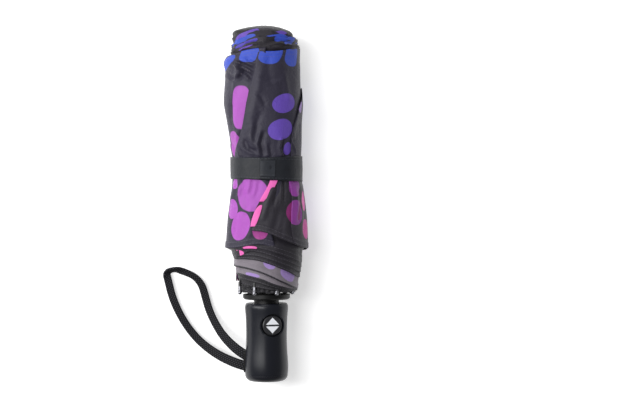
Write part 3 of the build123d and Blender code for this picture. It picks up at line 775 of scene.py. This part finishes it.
# left-hand lobe below the band
fold("canopy_lobe_left", const(-205.0), edge([(282, 165), (282, 182), (276, 205), (272, 230), (276, 250)]),
     rows([(226.4, 247.6), (236, 247.8), (244, 246.6), (252, 245), (262, 244.6), (272, 247)], left=[(-206, 250), (-120, 248)], right=[(60, 250)]), const(165.0),
     lambda th, py: 0.0 + 0 * py,
     [cloth("canopy_lobe_left_print", shapes=[
         shape_at(238, 178, 268, 211.5, ORCHID, 0, 2.3), shape_at(233.4, 178, 238, 189, ORCHID, 0, 2), shape_at(229.5, 199, 236.5, 219, ORCHID, 0, 2),
         shape_at(231.5, 211.5, 250, 240.5, srgb(160, 74, 172), -20, 2.2), shape_at(252.5, 222, 268, 239.5, srgb(158, 60, 138), 0, 2.2)], **BACK), LINING],
     seed=6, amp=0.5, floor=0.9, hem_lift=0.5, edge_lift=0.35,
     extra=ridges([
         ([(241, 178), (242, 188), (240, 200)], 1.6, 0.9, "crease"), ([(252, 178), (252, 186), (249, 196)], 1.5, 0.8, "crease"),
         ([(260, 178), (258, 190), (254, 200)], 1.4, 0.6, "valley"), ([(236, 178), (234, 190), (231, 204)], 1.6, 0.8, "ridge"),
         ([(250, 205), (251, 225), (247, 244)], 3.0, 0.8, "ridge"), ([(236, 200), (235, 222), (232, 244)], 2.6, 0.6, "valley"),
         ([(243, 190), (246, 206), (244, 222)], 2.4, 0.5, "valley")]))

# the three-cornered lobe over it
EL = [(276, 165), (276, 178), (272.5, 184), (267, 194), (262, 203), (257, 214), (254, 224), (252.4, 231.4), (252.2, 240)]
fold("canopy_lobe_corner", edge(EL), const(118.0),
     rows([(252, 230.6), (262, 231.6), (270, 234), (278, 237.6), (288, 242), (296, 245.4), (303, 247.6)], right=[(100, 248), (119, 248)]), const(165.0),
     lambda th, py: 1.1 + 0.3 * smooth(190, 240, py) - 1.0 * smooth(62, 80, th),
     [cloth("canopy_lobe_corner_print", base=srgb(40, 37, 45), shapes=[
         shape_at(285.8, 200, 303, 225, srgb(134, 40, 108), 0, 2.1), shape_at(288.2, 178, 299, 196.5, srgb(124, 46, 124), 0, 2.1)]), LINING],
     seed=7, amp=0.4, floor=0.9, hem_lift=0.45, edge_lift=0.5, side_lift=(-0.2, 0),
     extra=ridges([
         ([(275, 184), (268, 200), (262, 222)], 3.0, 0.8, "ridge"), ([(279, 178), (277, 192), (272, 208)], 1.8, 0.7, "valley"),
         ([(283, 178), (284, 190), (283, 206)], 1.6, 0.6, "crease"), ([(280, 206), (276, 222), (272, 234)], 3.2, 0.5, "valley"),
         ([(287, 214), (285, 228), (284, 240)], 2.2, 0.5, "ridge")]))
# its turned edge, showing the print of the next panel
fold("canopy_lobe_corner_turn", edge([(272, 172), (269.4, 182), (266.2, 189), (262.4, 196), (258.8, 203), (255.0, 212), (252.2, 221), (250.8, 229)]),
     edge([(279.6, 172), (276.4, 182), (273.0, 189), (268.4, 196), (263.0, 203), (261.8, 209), (259.2, 218), (255.6, 226), (253.4, 229)]), const(226.0), const(174.0),
     lambda th, py: 2.4 + 0 * py, [cloth("canopy_lobe_corner_turn_print", base=srgb(24, 22, 28), shapes=[
         shape_at(250, 140, 300, 201.6, PINK, 0, 9.0), stroke_at(251.6, 228.5, 262.4, 205.4, 8.0, PINK, 2.8)], hem=False), LINING],
     nu=18, nv=100, seed=14, amp=0.15, floor=0.9, hem_lift=0.0, side_lift=(-0.7, -0.3),
     extra=lambda th, py: -0.9 * np.exp(-((py - 203.6) / 2.2) ** 2))

# right-hand fold below the band
fold("canopy_fold_lower_right", edge([(287.4, 165), (288.4, 184), (290.6, 196), (290.2, 214), (290.8, 232), (293, 244), (294, 252)]), const(205.0),
     rows([(291, 243.6), (298, 246.4), (305, 248.6)], left=[(30, 243)], right=[(100, 249.6), (150, 251), (206, 250)]), const(165.0),
     lambda th, py: 1.7 + 0 * py,
     [cloth("canopy_fold_lower_right_print", base=srgb(42, 39, 47), shapes=[
         shape_at(287.0, 178, 297.8, 196.5, MAGENTA, 0, 2.1), shape_at(285.2, 200, 300.4, 225, srgb(134, 56, 142), 0, 2.1),
         shape_at(300.6, 191, 307, 211, PINK, 0, 2), shape_at(301.4, 219, 309, 239, srgb(196, 66, 150), 0, 2)], **BACK), LINING],
     seed=10, amp=0.4, floor=0.7, hem_lift=0.45, edge_lift=0.3, side_lift=(0.3, 0),
     extra=ridges([([(297, 184), (299, 204), (297, 224)], 1.8, 0.8, "crease"), ([(301, 190), (303, 214), (303, 240)], 1.4, 0.6, "valley")]))


# ------------------------------------------------------------------ opened canopy
# Each half of the canopy is three rings of four panels, one ring on each link of the ribs. A ring is drawn as it
# stands when open and brought back to where its link rests; the turn of each point round the shaft is its place
# across the link's plane.
PIVOT = dict(C=(9.5, 268.0), K1=(16.602, 96.127), K2=(15.855, 262.164), TIP=(20.88, 70.2))
FOLDS = ((PIVOT["C"], 80.0), (PIVOT["K1"], -175.0), (PIVOT["K2"], 163.0))
GAMMA = 179.5
LAT = 4.0


def rib_matrix(azimuth, links):
    """Motion of a rib's link, in millimetres, from rest to fully open."""
    az = math.radians(azimuth)
    e = Vector((-math.sin(az), 0, math.cos(az)))
    m = Matrix.Identity(4)
    for (r, a), deg in FOLDS[:links]:
        p = Vector((r * math.cos(az), a - MID, AXZ + r * math.sin(az)))
        m = m @ Matrix.Translation(p) @ Matrix.Rotation(math.radians(deg), 4, e) @ Matrix.Translation(-p)
    return m


def open_profile():
    """The rib's own line when open, as (radius, station), with the links' ends."""
    m1, m2, m3 = (rib_matrix(0, k) for k in (1, 2, 3))
    def at(m, p):
        q = m @ Vector((p[0], p[1] - MID, AXZ))
        return (q.x, q.y + MID)
    return [PIVOT["C"], at(m1, PIVOT["K1"]), at(m2, PIVOT["K2"]), at(m3, PIVOT["TIP"])]


ENDS = open_profile()
_L = [0.0]
for (r0, a0), (r1, a1) in zip(ENDS, ENDS[1:]):
    _L.append(_L[-1] + math.hypot(r1 - r0, a1 - a0))
_fine = np.linspace(0, _L[-1], 400)
_er = np.interp(_fine, _L, [p[0] for p in ENDS])
_ea = np.interp(_fine, _L, [p[1] for p in ENDS])
# the cloth rounds the small kinks at the knuckles
_ker = np.exp(-(np.arange(-40, 41) / 17.0) ** 2)
_ker /= _ker.sum()
_pad = lambda v: np.concatenate([v[0] - (v[1] - v[0]) * np.arange(40, 0, -1), v, v[-1] + (v[-1] - v[-2]) * np.arange(1, 41)])
_sr, _sa = np.convolve(_pad(_er), _ker, "valid"), np.convolve(_pad(_ea), _ker, "valid")


def dome(u, beta):
    """Point of the open canopy: u along the rib in millimetres, beta in degrees from the middle of its panel."""
    r = np.interp(u, _fine, _sr)
    a = np.interp(u, _fine, _sa)
    k = np.cos(np.radians(22.5)) / np.cos(np.radians(beta))
    mid = np.cos(np.radians(beta * 4)) * 0.5 + 0.5
    billow = 1 + 0.006 * mid
    lift = 3.4 + mid * np.interp(u, [0, _L[1], (_L[1] + _L[2]) / 2, _L[2], _L[2] + 90, _L[3]], [2.5, 3.0, 9.0, 12.0, 10.0, 1.0])
    return r * k * billow, a + lift


PANEL = cloth("canopy_panel_print", paws=(64, 0.80, 9, STOPS, (-10, 470)), base=srgb(40, 37, 45))
PANEL_BACK = cloth("canopy_panel_reverse", paws=(64, 0.80, 9, [(0.0, srgb(150, 110, 160)), (1.0, srgb(104, 104, 160))], (-10, 470)), base=srgb(84, 79, 85), sheen=0.05)
SPAN = [(1.5, _L[1]), (_L[1], _L[2]), (_L[2], _L[3] - 1.0)]
bcol = np.sort(np.concatenate([np.linspace(-22.5, 22.5, 15), [-22.3, -21.9, 21.9, 22.3]]))
for half, base, index in (("a", 22.5, 1), ("b", 202.5, 5)):
    for k in (1, 2, 3):
        u0, u1 = SPAN[k - 1]
        u = np.linspace(u0, u1, 22)
        beta, azi = [], []
        for g in range(4):
            cols = bcol if g == 3 else bcol[:-1]
            beta += list(cols)
            azi += list(base + g * 45 + 22.5 + cols)
        beta, azi = np.array(beta), np.array(azi)
        azi = np.minimum(azi, base + 180.0)
        Q, B = np.meshgrid(np.linspace(0, 1, 22), beta, indexing="ij")
        _, A = np.meshgrid(u, azi, indexing="ij")
        far = np.cos(np.radians(B)) / np.cos(np.radians(22.5)) / (1 + 0.006 * (np.cos(np.radians(B * 4)) * 0.5 + 0.5))
        def border(n):
            """Where a ring's border crosses: as far from the shaft in a panel's middle as at the knuckle."""
            if n == 0:
                return 1.5 + 0 * B
            if n == 3:      # the hem runs in between the tips
                return u1 - 16.0 * (np.cos(np.radians(B * 4)) * 0.5 + 0.5)
            return np.interp(np.interp(_L[n], _fine, _sr) * far, _sr, _fine)
        U = border(k - 1) * (1 - Q) + border(k) * Q
        R, H = dome(U, B)
        delta = np.radians(A - base)
        G = math.radians(GAMMA)

        def solve(R, delta):
            lo = np.zeros(R.shape)
            hi = np.ones(R.shape)
            inv = lambda w: 0.5 - np.sin(np.arcsin(np.clip(1 - 2 * w, -1, 1)) / 3)
            lo = inv(np.clip((delta - math.pi / 2) / G, 0, 1))
            hi = inv(np.clip((delta + math.pi / 2) / G, 0, 1))
            for _ in range(50):
                t = (lo + hi) / 2
                f = R * np.sin(delta - G * (t * t * (3 - 2 * t))) - (-LAT + 2 * LAT * t)
                lo = np.where(f > 0, t, lo)
                hi = np.where(f > 0, hi, t)
            return (lo + hi) / 2

        def rest(R, H):
            t = solve(R, delta)
            back = A - GAMMA * (t * t * (3 - 2 * t))
            az = np.radians(back)
            pts = np.stack([R * np.cos(az), H - MID, AXZ + R * np.sin(az), np.ones(R.shape)], -1)
            m = np.array(rib_matrix(base, k).inverted())
            return (pts @ m.T)[..., :3]

        outer = rest(R, H)
        inner = rest(R, H - 0.6)
        lateral = R * np.sin(np.radians(B))
        length = _L[-1] - U
        seam = (np.cos(np.radians(22.5 - np.abs(B))) * 0 + np.abs(np.radians(22.5 - np.abs(B))) * R)
        if k == 3:
            seam = np.minimum(seam, (u1 - u0) * (1 - (np.linspace(u0, u1, 22)[:, None] - u0) / (u1 - u0)) + 0 * seam)
        gore = np.repeat(np.arange(4), [len(bcol) - 1] * 3 + [len(bcol)])[None, :] * 197.0
        uv = np.stack([lateral + gore, length], -1) * MM
        hem = np.stack([length, seam], -1) * MM
        piece = sheet_mesh(f"canopy_ring{k}_{half}_panels", outer, inner, uv, hem, [PANEL, PANEL_BACK])
        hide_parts(f"canopy_ring{k}_{half}")
        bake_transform(piece)


# ------------------------------------------------------------------ ferrule over the crown
def lathe(name, profile, mats, steps=72):
    """Turned piece about the shaft's axis; profile is (radius, station) in millimetres."""
    t = np.linspace(0, 2 * np.pi, steps, endpoint=False)
    verts = [(r * math.cos(x) * MM, (a - MID) * MM, (AXZ + r * math.sin(x)) * MM) for r, a in profile[1:-1] for x in t]
    n = len(profile) - 2
    faces = [(j * steps + i, j * steps + (i + 1) % steps, (j + 1) * steps + (i + 1) % steps, (j + 1) * steps + i) for j in range(n - 1) for i in range(steps)]
    verts += [(0, (profile[0][1] - MID) * MM, AXZ * MM), (0, (profile[-1][1] - MID) * MM, AXZ * MM)]
    top, end = len(verts) - 2, len(verts) - 1
    faces += [(top, (i + 1) % steps, i) for i in range(steps)]
    faces += [(end, (n - 1) * steps + i, (n - 1) * steps + (i + 1) % steps) for i in range(steps)]
    uv = [(v[0], v[2]) for v in verts]
    return build(name, verts, faces, uv, uv, mats)


ferrule = lathe("crown_ferrule", [(0, 283.4), (2.5, 283.4), (5.2, 283.25), (7.4, 282.8), (8.6, 282.2), (9.0, 281.4), (8.7, 280.7), (7.6, 280.2), (6.0, 279.9), (5.6, 279.0),
                                  (5.4, 276.4), (5.8, 274.8), (7.2, 273.9), (9.4, 273.4), (10.6, 272.8), (10.8, 272.0), (10.2, 271.6), (0, 271.6)], [BLACK])
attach(ferrule, "crown")


# ------------------------------------------------------------------ coil under the button
def coil(name, turns, radius, wire, low, high, mats, sides=10, steps=150):
    """Coil spring standing along the button's own axis, between two heights from the shaft's axis."""
    up = Vector((math.sin(math.radians(20)), 0, math.cos(math.radians(20))))
    across, along = Vector((0, 1, 0)), up.cross(Vector((0, 1, 0)))
    foot = Vector((0, 45.2 - MID, AXZ))
    verts = []
    for i in range(steps + 1):
        f = i / steps
        w = 2 * math.pi * turns * f
        out = across * math.cos(w) + along * math.sin(w)
        centre = foot + out * radius + up * (low + wire + (high - low - 2 * wire) * f)
        verts += [tuple((centre + (out * math.cos(v) + up * math.sin(v)) * wire) * MM) for v in (2 * math.pi * j / sides for j in range(sides))]
    faces = [(i * sides + j, i * sides + (j + 1) % sides, (i + 1) * sides + (j + 1) % sides, (i + 1) * sides + j) for i in range(steps) for j in range(sides)]
    faces += [tuple(range(sides - 1, -1, -1)), tuple(range(steps * sides, (steps + 1) * sides))]
    uv = [(v[0], v[2]) for v in verts]
    return build(name, verts, faces, uv, uv, mats)


spring = coil("button_coil", 3.2, 2.8, 0.32, 7.1, 9.55, [SPRING])
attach(spring, "handle")
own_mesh(spring)
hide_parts("button_spring")

# ------------------------------------------------------------------ tie band
def band_material(name, base=srgb(19, 22, 29)):
    m, t, b = material(name)
    uv = node(t, "ShaderNodeUVMap", uv_map="print")
    sc = node(t, "ShaderNodeMapping")
    sc.inputs["Scale"].default_value = (1000, 1000, 1)
    t.links.new(uv.outputs[0], sc.inputs[0])
    rib = node(t, "ShaderNodeTexWave", wave_type="BANDS", bands_direction="X")
    rib.inputs["Scale"].default_value = 0.42
    rib.inputs["Distortion"].default_value = 0.8
    t.links.new(sc.outputs[0], rib.inputs[0])
    br = noise(t, sc.outputs[0], 0.12, 4.0)
    c = mix(t, br, tuple(x * 0.7 for x in base), tuple(x * 1.5 for x in base))
    huv = node(t, "ShaderNodeUVMap", uv_map="hem")
    hs = node(t, "ShaderNodeSeparateXYZ")
    t.links.new(huv.outputs[0], hs.inputs[0])
    d = math_node(t, "MULTIPLY", hs.outputs[1], 1000.0)
    st = None
    for at in (1.6, 16.6):
        near = math_node(t, "LESS_THAN", math_node(t, "ABSOLUTE", math_node(t, "SUBTRACT", d, at)), 0.17)
        dash = math_node(t, "LESS_THAN", math_node(t, "FRACT", math_node(t, "MULTIPLY", hs.outputs[0], 400.0)), 0.66)
        one = math_node(t, "MULTIPLY", near, dash)
        st = one if st is None else math_node(t, "MAXIMUM", st, one)
    c = mix(t, math_node(t, "MULTIPLY", st, 0.5), c, srgb(66, 70, 78))
    t.links.new(c, b.inputs["Base Color"])
    fine = noise(t, sc.outputs[0], 4.0, 2.0)
    n1 = bump(t, rib.outputs["Fac"], 0.22, 0.0001)
    n2 = bump(t, fine, 0.3, 0.00012, n1)
    n3 = bump(t, noise(t, sc.outputs[0], 0.2, 4.0, 0.6, 0.8), 0.35, 0.0008, n2)
    t.links.new(n3, b.inputs["Normal"])
    rr = node(t, "ShaderNodeMapRange")
    rr.inputs["To Min"].default_value = 0.42
    rr.inputs["To Max"].default_value = 0.6
    t.links.new(br, rr.inputs[0])
    t.links.new(rr.outputs[0], b.inputs["Roughness"])
    b.inputs["Specular IOR Level"].default_value = 0.3
    b.inputs["Sheen Weight"].default_value = 0.08
    b.inputs["Sheen Roughness"].default_value = 0.4
    return m


BAND_M = band_material("tie_band_webbing")
# the patch uses a lighter copy of the webbing: painted sheen
BAND_PAINTED_SHEEN = band_material("tie_band_tab_painted_sheen", srgb(31, 34, 41))
lo = rows([(232.6, 178.9), (248, 179.2), (262, 180.0), (280, 180.8), (299.6, 181.4)], left=[(-182, 180), (-100, 178.6)], right=[(100, 181.4), (182, 180)])
hi = rows([(232.6, 157.0), (248, 157.4), (262, 157.4), (280, 156.8), (299.6, 156.2)], left=[(-182, 156.6), (-100, 157)], right=[(100, 156.2), (182, 156.6)])
fold("tie_band_loop", const(-180.0), const(180.0), lo, hi, lambda th, py: 1.25 + 1.35 * smooth(-6, 60, th) * smooth(176, 120, th) + 0.35 * np.sin(np.radians(th * 3 + 40)),
                [BAND_M], under_band=False, nu=180, nv=26, thick=0.8, seed=40, amp=0.16, closed=True, hem_lift=0.0, floor=0.5)
fold("tie_band_end", edge([(259.6, 150), (259.8, 190)]), const(64.0), lambda th: lo(th) - 0.5, lambda th: hi(th) + 0.4,
                lambda th, py: 2.35 + 1.15 * smooth(-6, 60, th) + 0 * py,
                [BAND_M], under_band=False, nu=40, nv=22, thick=0.8, seed=41, amp=0.12, hem_lift=0.0, floor=0.5, side_lift=(0.25, 0))
PATCH = fold("tie_patch_loop", edge([(260.6, 150), (260.8, 190)]), edge([(274.6, 150), (275.2, 190)]), lambda th: lo(th) - 3.2, lambda th: hi(th) + 3.4,
             lambda th, py: 2.95 + 1.15 * smooth(-6, 60, th) + 0 * py, [BAND_PAINTED_SHEEN], under_band=False, nu=24, nv=18, thick=0.6, seed=42, amp=0.1, hem_lift=0.0, floor=0.5, side_lift=(-0.3, -0.3))

# ------------------------------------------------------------------ wrist strap
ROUTE = [(-13.6, 18.4, 27.0), (-20.0, 22.0, 26.2), (-27.5, 27.4, 22.8), (-35.5, 34.6, 15.0), (-42.0, 43.6, 8.4), (-47.6, 54.6, 4.6), (-50.8, 66.0, 3.8),
         (-53.4, 75.4, 3.8), (-59.4, 82.2, 3.8), (-67.6, 85.8, 3.8), (-75.6, 88.4, 3.9), (-82.8, 85.6, 4.0), (-80.8, 78.0, 3.9), (-78.2, 67.0, 3.8), (-73.4, 54.8, 3.7),
         (-66.4, 42.6, 3.8), (-57.6, 31.6, 4.8), (-47.6, 23.6, 8.8), (-37.0, 18.0, 16.4), (-27.0, 14.4, 23.2), (-20.0, 12.4, 26.2), (-13.6, 11.0, 27.0)]
cu = bpy.data.curves.new("strap_route", "CURVE")
cu.dimensions = "3D"
sp = cu.splines.new("NURBS")
sp.points.add(len(ROUTE) - 1)
for p, (x, a, z) in zip(sp.points, ROUTE):
    p.co = (x * MM, (a - MID) * MM, z * MM, 1)
sp.order_u = 3
sp.use_endpoint_u = True
cu.resolution_u = 16
tmp = bpy.data.objects.new("strap_route", cu)
SC.collection.objects.link(tmp)
dg = bpy.context.evaluated_depsgraph_get()
line_me = bpy.data.meshes.new_from_object(tmp.evaluated_get(dg))
line = np.array([v.co[:] for v in line_me.vertices])
bpy.data.objects.remove(tmp)
seg = np.linalg.norm(np.diff(line, axis=0), axis=1)
arc = np.concatenate([[0], np.cumsum(seg)])
STRAP_LEN = float(arc[-1])


def resample(step):
    n = int(round(STRAP_LEN / step)) + 1
    s = np.linspace(0, STRAP_LEN, n)
    return s, np.stack([np.interp(s, arc, line[:, i]) for i in range(3)], 1)


S, P = resample(0.0004)
T = np.gradient(P, axis=0)
T /= np.linalg.norm(T, axis=1)[:, None]


def strap_side():
    """Across direction of the tape: flat on the floor, turned a little where it folds and where it enters the handle."""
    up = np.tile(np.array([0.0, 0.0, 1.0]), (len(S), 1))
    w = np.cross(T, up)
    w /= np.linalg.norm(w, axis=1)[:, None]
    n = np.cross(w, T)
    L = STRAP_LEN
    roll = (18 * np.sin(np.pi * S / L * 3.0) * np.exp(-((S - 0.30 * L) / (0.16 * L)) ** 2)
            - 14 * np.exp(-((S - 0.66 * L) / (0.10 * L)) ** 2)
            + 66 * np.exp(-((S - 0.468 * L) / (0.034 * L)) ** 2))
    r = np.radians(roll)[:, None]
    return w * np.cos(r) + n * np.sin(r), n * np.cos(r) - w * np.sin(r)


W, N = strap_side()
HALF, THICK = 3.5 * MM, 1.15 * MM
prof_n = 56
ang = np.linspace(0, 2 * np.pi, prof_n, endpoint=False)
verts, uvs = [], []
for k in range(len(S)):
    cx = np.sign(np.cos(ang)) * np.abs(np.cos(ang)) ** 0.55
    cz = np.sign(np.sin(ang)) * np.abs(np.sin(ang)) ** 0.8
    # knitted rows: columns of stitches, alternate ones shifted
    col = cx * 2.5
    rowsn = S[k] / 0.0022
    stitch = np.abs(np.sin(np.pi * (rowsn + 0.5 * (np.floor(col + 40) % 2)))) * np.abs(np.sin(np.pi * col)) ** 0.8
    # rolled edges
    roll = 0.25 * np.exp(-((np.abs(cx) - 0.84) / 0.14) ** 2)
    h = THICK * (cz * (1 + roll)) + np.sign(cz) * 0.0005 * (stitch - 0.5) * (np.abs(cz) > 0.25)
    q = S[k] / STRAP_LEN
    wide = HALF * (0.92 + 0.22 * (1 - smooth(0.0, 0.22, q)) + 0.22 * smooth(0.72, 1.0, q) - 0.16 * math.exp(-((q - 0.40) / 0.05) ** 2))
    pt = P[k] + W[k] * (cx * wide)[:, None] + N[k] * h[:, None]
    verts.append(pt)
    uvs.append(np.stack([cx * HALF, np.full(prof_n, S[k])], -1))
V = np.concatenate(verts)
V[:, 2] = np.maximum(V[:, 2], 0.0003)
faces = []
for k in range(len(S) - 1):
    for i in range(prof_n):
        j = (i + 1) % prof_n
        a0, b0 = k * prof_n + i, k * prof_n + j
        faces.append((a0, b0, b0 + prof_n, a0 + prof_n))
faces.append(tuple(range(prof_n))[::-1])
faces.append(tuple((len(S) - 1) * prof_n + i for i in range(prof_n)))

sm, st_, sb = material("strap_braid")
suv = node(st_, "ShaderNodeUVMap", uv_map="print")
ssc = node(st_, "ShaderNodeMapping")
ssc.inputs["Scale"].default_value = (1000, 1000, 1)
st_.links.new(suv.outputs[0], ssc.inputs[0])
ssep = node(st_, "ShaderNodeSeparateXYZ")
st_.links.new(ssc.outputs[0], ssep.inputs[0])
colm = math_node(st_, "ADD", math_node(st_, "MULTIPLY", ssep.outputs[0], 2.5 / 3.5), 40.0)
odd = math_node(st_, "MULTIPLY", math_node(st_, "FLOORED_MODULO", math_node(st_, "FLOOR", colm), 2.0), 0.5)
rowm = math_node(st_, "ADD", math_node(st_, "MULTIPLY", ssep.outputs[1], 1 / 2.2), odd)
sa = math_node(st_, "ABSOLUTE", math_node(st_, "SINE", math_node(st_, "MULTIPLY", rowm, math.pi)))
sbn = math_node(st_, "ABSOLUTE", math_node(st_, "SINE", math_node(st_, "MULTIPLY", colm, math.pi)))
stit = math_node(st_, "MULTIPLY", sa, sbn)
fib = noise(st_, ssc.outputs[0], 3.2, 3.0)
# knit pattern painted into the colour: the near-black gaps between stitches are painted shade, the grey stitch tops
# painted highlight
scol = mix(st_, math_node(st_, "POWER", stit, 2.2), srgb(2, 2, 3), srgb(66, 66, 72))
scol = mix(st_, math_node(st_, "MULTIPLY", fib, 0.16), scol, srgb(46, 46, 50))
st_.links.new(scol, sb.inputs["Base Color"])
st_.links.new(bump(st_, fib, 0.4, 0.0001, bump(st_, stit, 0.6, 0.0003)), sb.inputs["Normal"])
srr = node(st_, "ShaderNodeMapRange")
srr.inputs["To Min"].default_value = 0.55
srr.inputs["To Max"].default_value = 0.8
st_.links.new(fib, srr.inputs[0])
st_.links.new(srr.outputs[0], sb.inputs["Roughness"])
sb.inputs["Sheen Weight"].default_value = 0.0
sb.inputs["Specular IOR Level"].default_value = 0.12
strap = build("wrist_strap_braid", V, faces, np.concatenate(uvs), np.concatenate(uvs), [sm])
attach(strap, "handle")
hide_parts("wrist_strap")

# ------------------------------------------------------------------ finishing
for ob in CANOPY:
    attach(ob, "crown")
    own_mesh(ob)
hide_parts("canopy_folds")
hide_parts("tie_band")
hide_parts("tie_patch")


for n, o in frame["nodes"].items():
    ob = o if hasattr(o, "data") else bpy.data.objects[n]
    m = None
    if n in ("handle_shell",): m = HANDLE
    elif n == "handle_end_cap": m = CAP
    elif n == "push_button": m = BUTTON
    elif n == "button_arrows": m = ARROW
    elif n.endswith("_tube"): m = STEEL
    elif n.endswith("_spring"): m = SPRING
    elif n.startswith("rib_outer"): m = TIP
    elif n.startswith("rib_") or n.startswith("stretcher"): m = RIB
    elif n in ("handle_collar", "crown_hub", "crown_cap", "runner", "strap_anchor"): m = BLACK
    if m:
        ob.data.materials.clear()
        ob.data.materials.append(m)

# floor and light
fm, ft, fb = material("floor")
fb.inputs["Base Color"].default_value = (0.95, 0.95, 0.955, 1)
fb.inputs["Specular IOR Level"].default_value = 0.2
fb.inputs["Emission Color"].default_value = (1.0, 1.0, 1.0, 1)
fb.inputs["Emission Strength"].default_value = 0.44
fb.inputs["Roughness"].default_value = 0.6
me = bpy.data.meshes.new("floor")
me.from_pydata([(-6, -6, 0), (6, -6, 0), (6, 6, 0), (-6, 6, 0)], [], [(0, 1, 2, 3)])
me.materials.append(fm)
floor = bpy.data.objects.new("floor", me)
SC.collection.objects.link(floor)

world = bpy.data.worlds.new("world")
SC.world = world
world.use_nodes = True
wt = world.node_tree
wbg = wt.nodes["Background"]
wbg.inputs[0].default_value = (1.0, 1.0, 1.0, 1)
wseen = node(wt, "ShaderNodeBackground")
wseen.inputs[0].default_value = (1.0, 1.0, 1.0, 1)
wseen.inputs[1].default_value = 0.93
wpath = node(wt, "ShaderNodeLightPath")
wmix = node(wt, "ShaderNodeMixShader")
wt.links.new(wpath.outputs["Is Camera Ray"], wmix.inputs[0])
wt.links.new(wbg.outputs[0], wmix.inputs[1])
wt.links.new(wseen.outputs[0], wmix.inputs[2])
wt.links.new(wmix.outputs[0], wt.nodes["World Output"].inputs[0])
world.node_tree.nodes["Background"].inputs[1].default_value = 0.3


def area(name, loc, target, size, power, colour=(1, 1, 1), size_y=None):
    l = bpy.data.lights.new(name, "AREA")
    l.energy = power
    l.color = colour
    l.size = size
    if size_y:
        l.shape = "RECTANGLE"
        l.size_y = size_y
    o = bpy.data.objects.new(name, l)
    SC.collection.objects.link(o)
    o.location = loc
    o.rotation_euler = (Vector(target) - Vector(loc)).to_track_quat("-Z", "Y").to_euler()
    return o


area("key", (-1.2, 0.3, 1.05), (0.0, 0, 0.02), 0.6, 20.0, size_y=1.3)
area("overhead", (-0.6, 0.25, 1.75), (0.0, 0, 0.0), 0.7, 10.0)
area("back", (-0.35, 1.7, 1.4), (0.0, 0, 0), 1.2, 9.0)
SC.view_settings.view_transform = "Standard"
SC.view_settings.exposure = 0.0
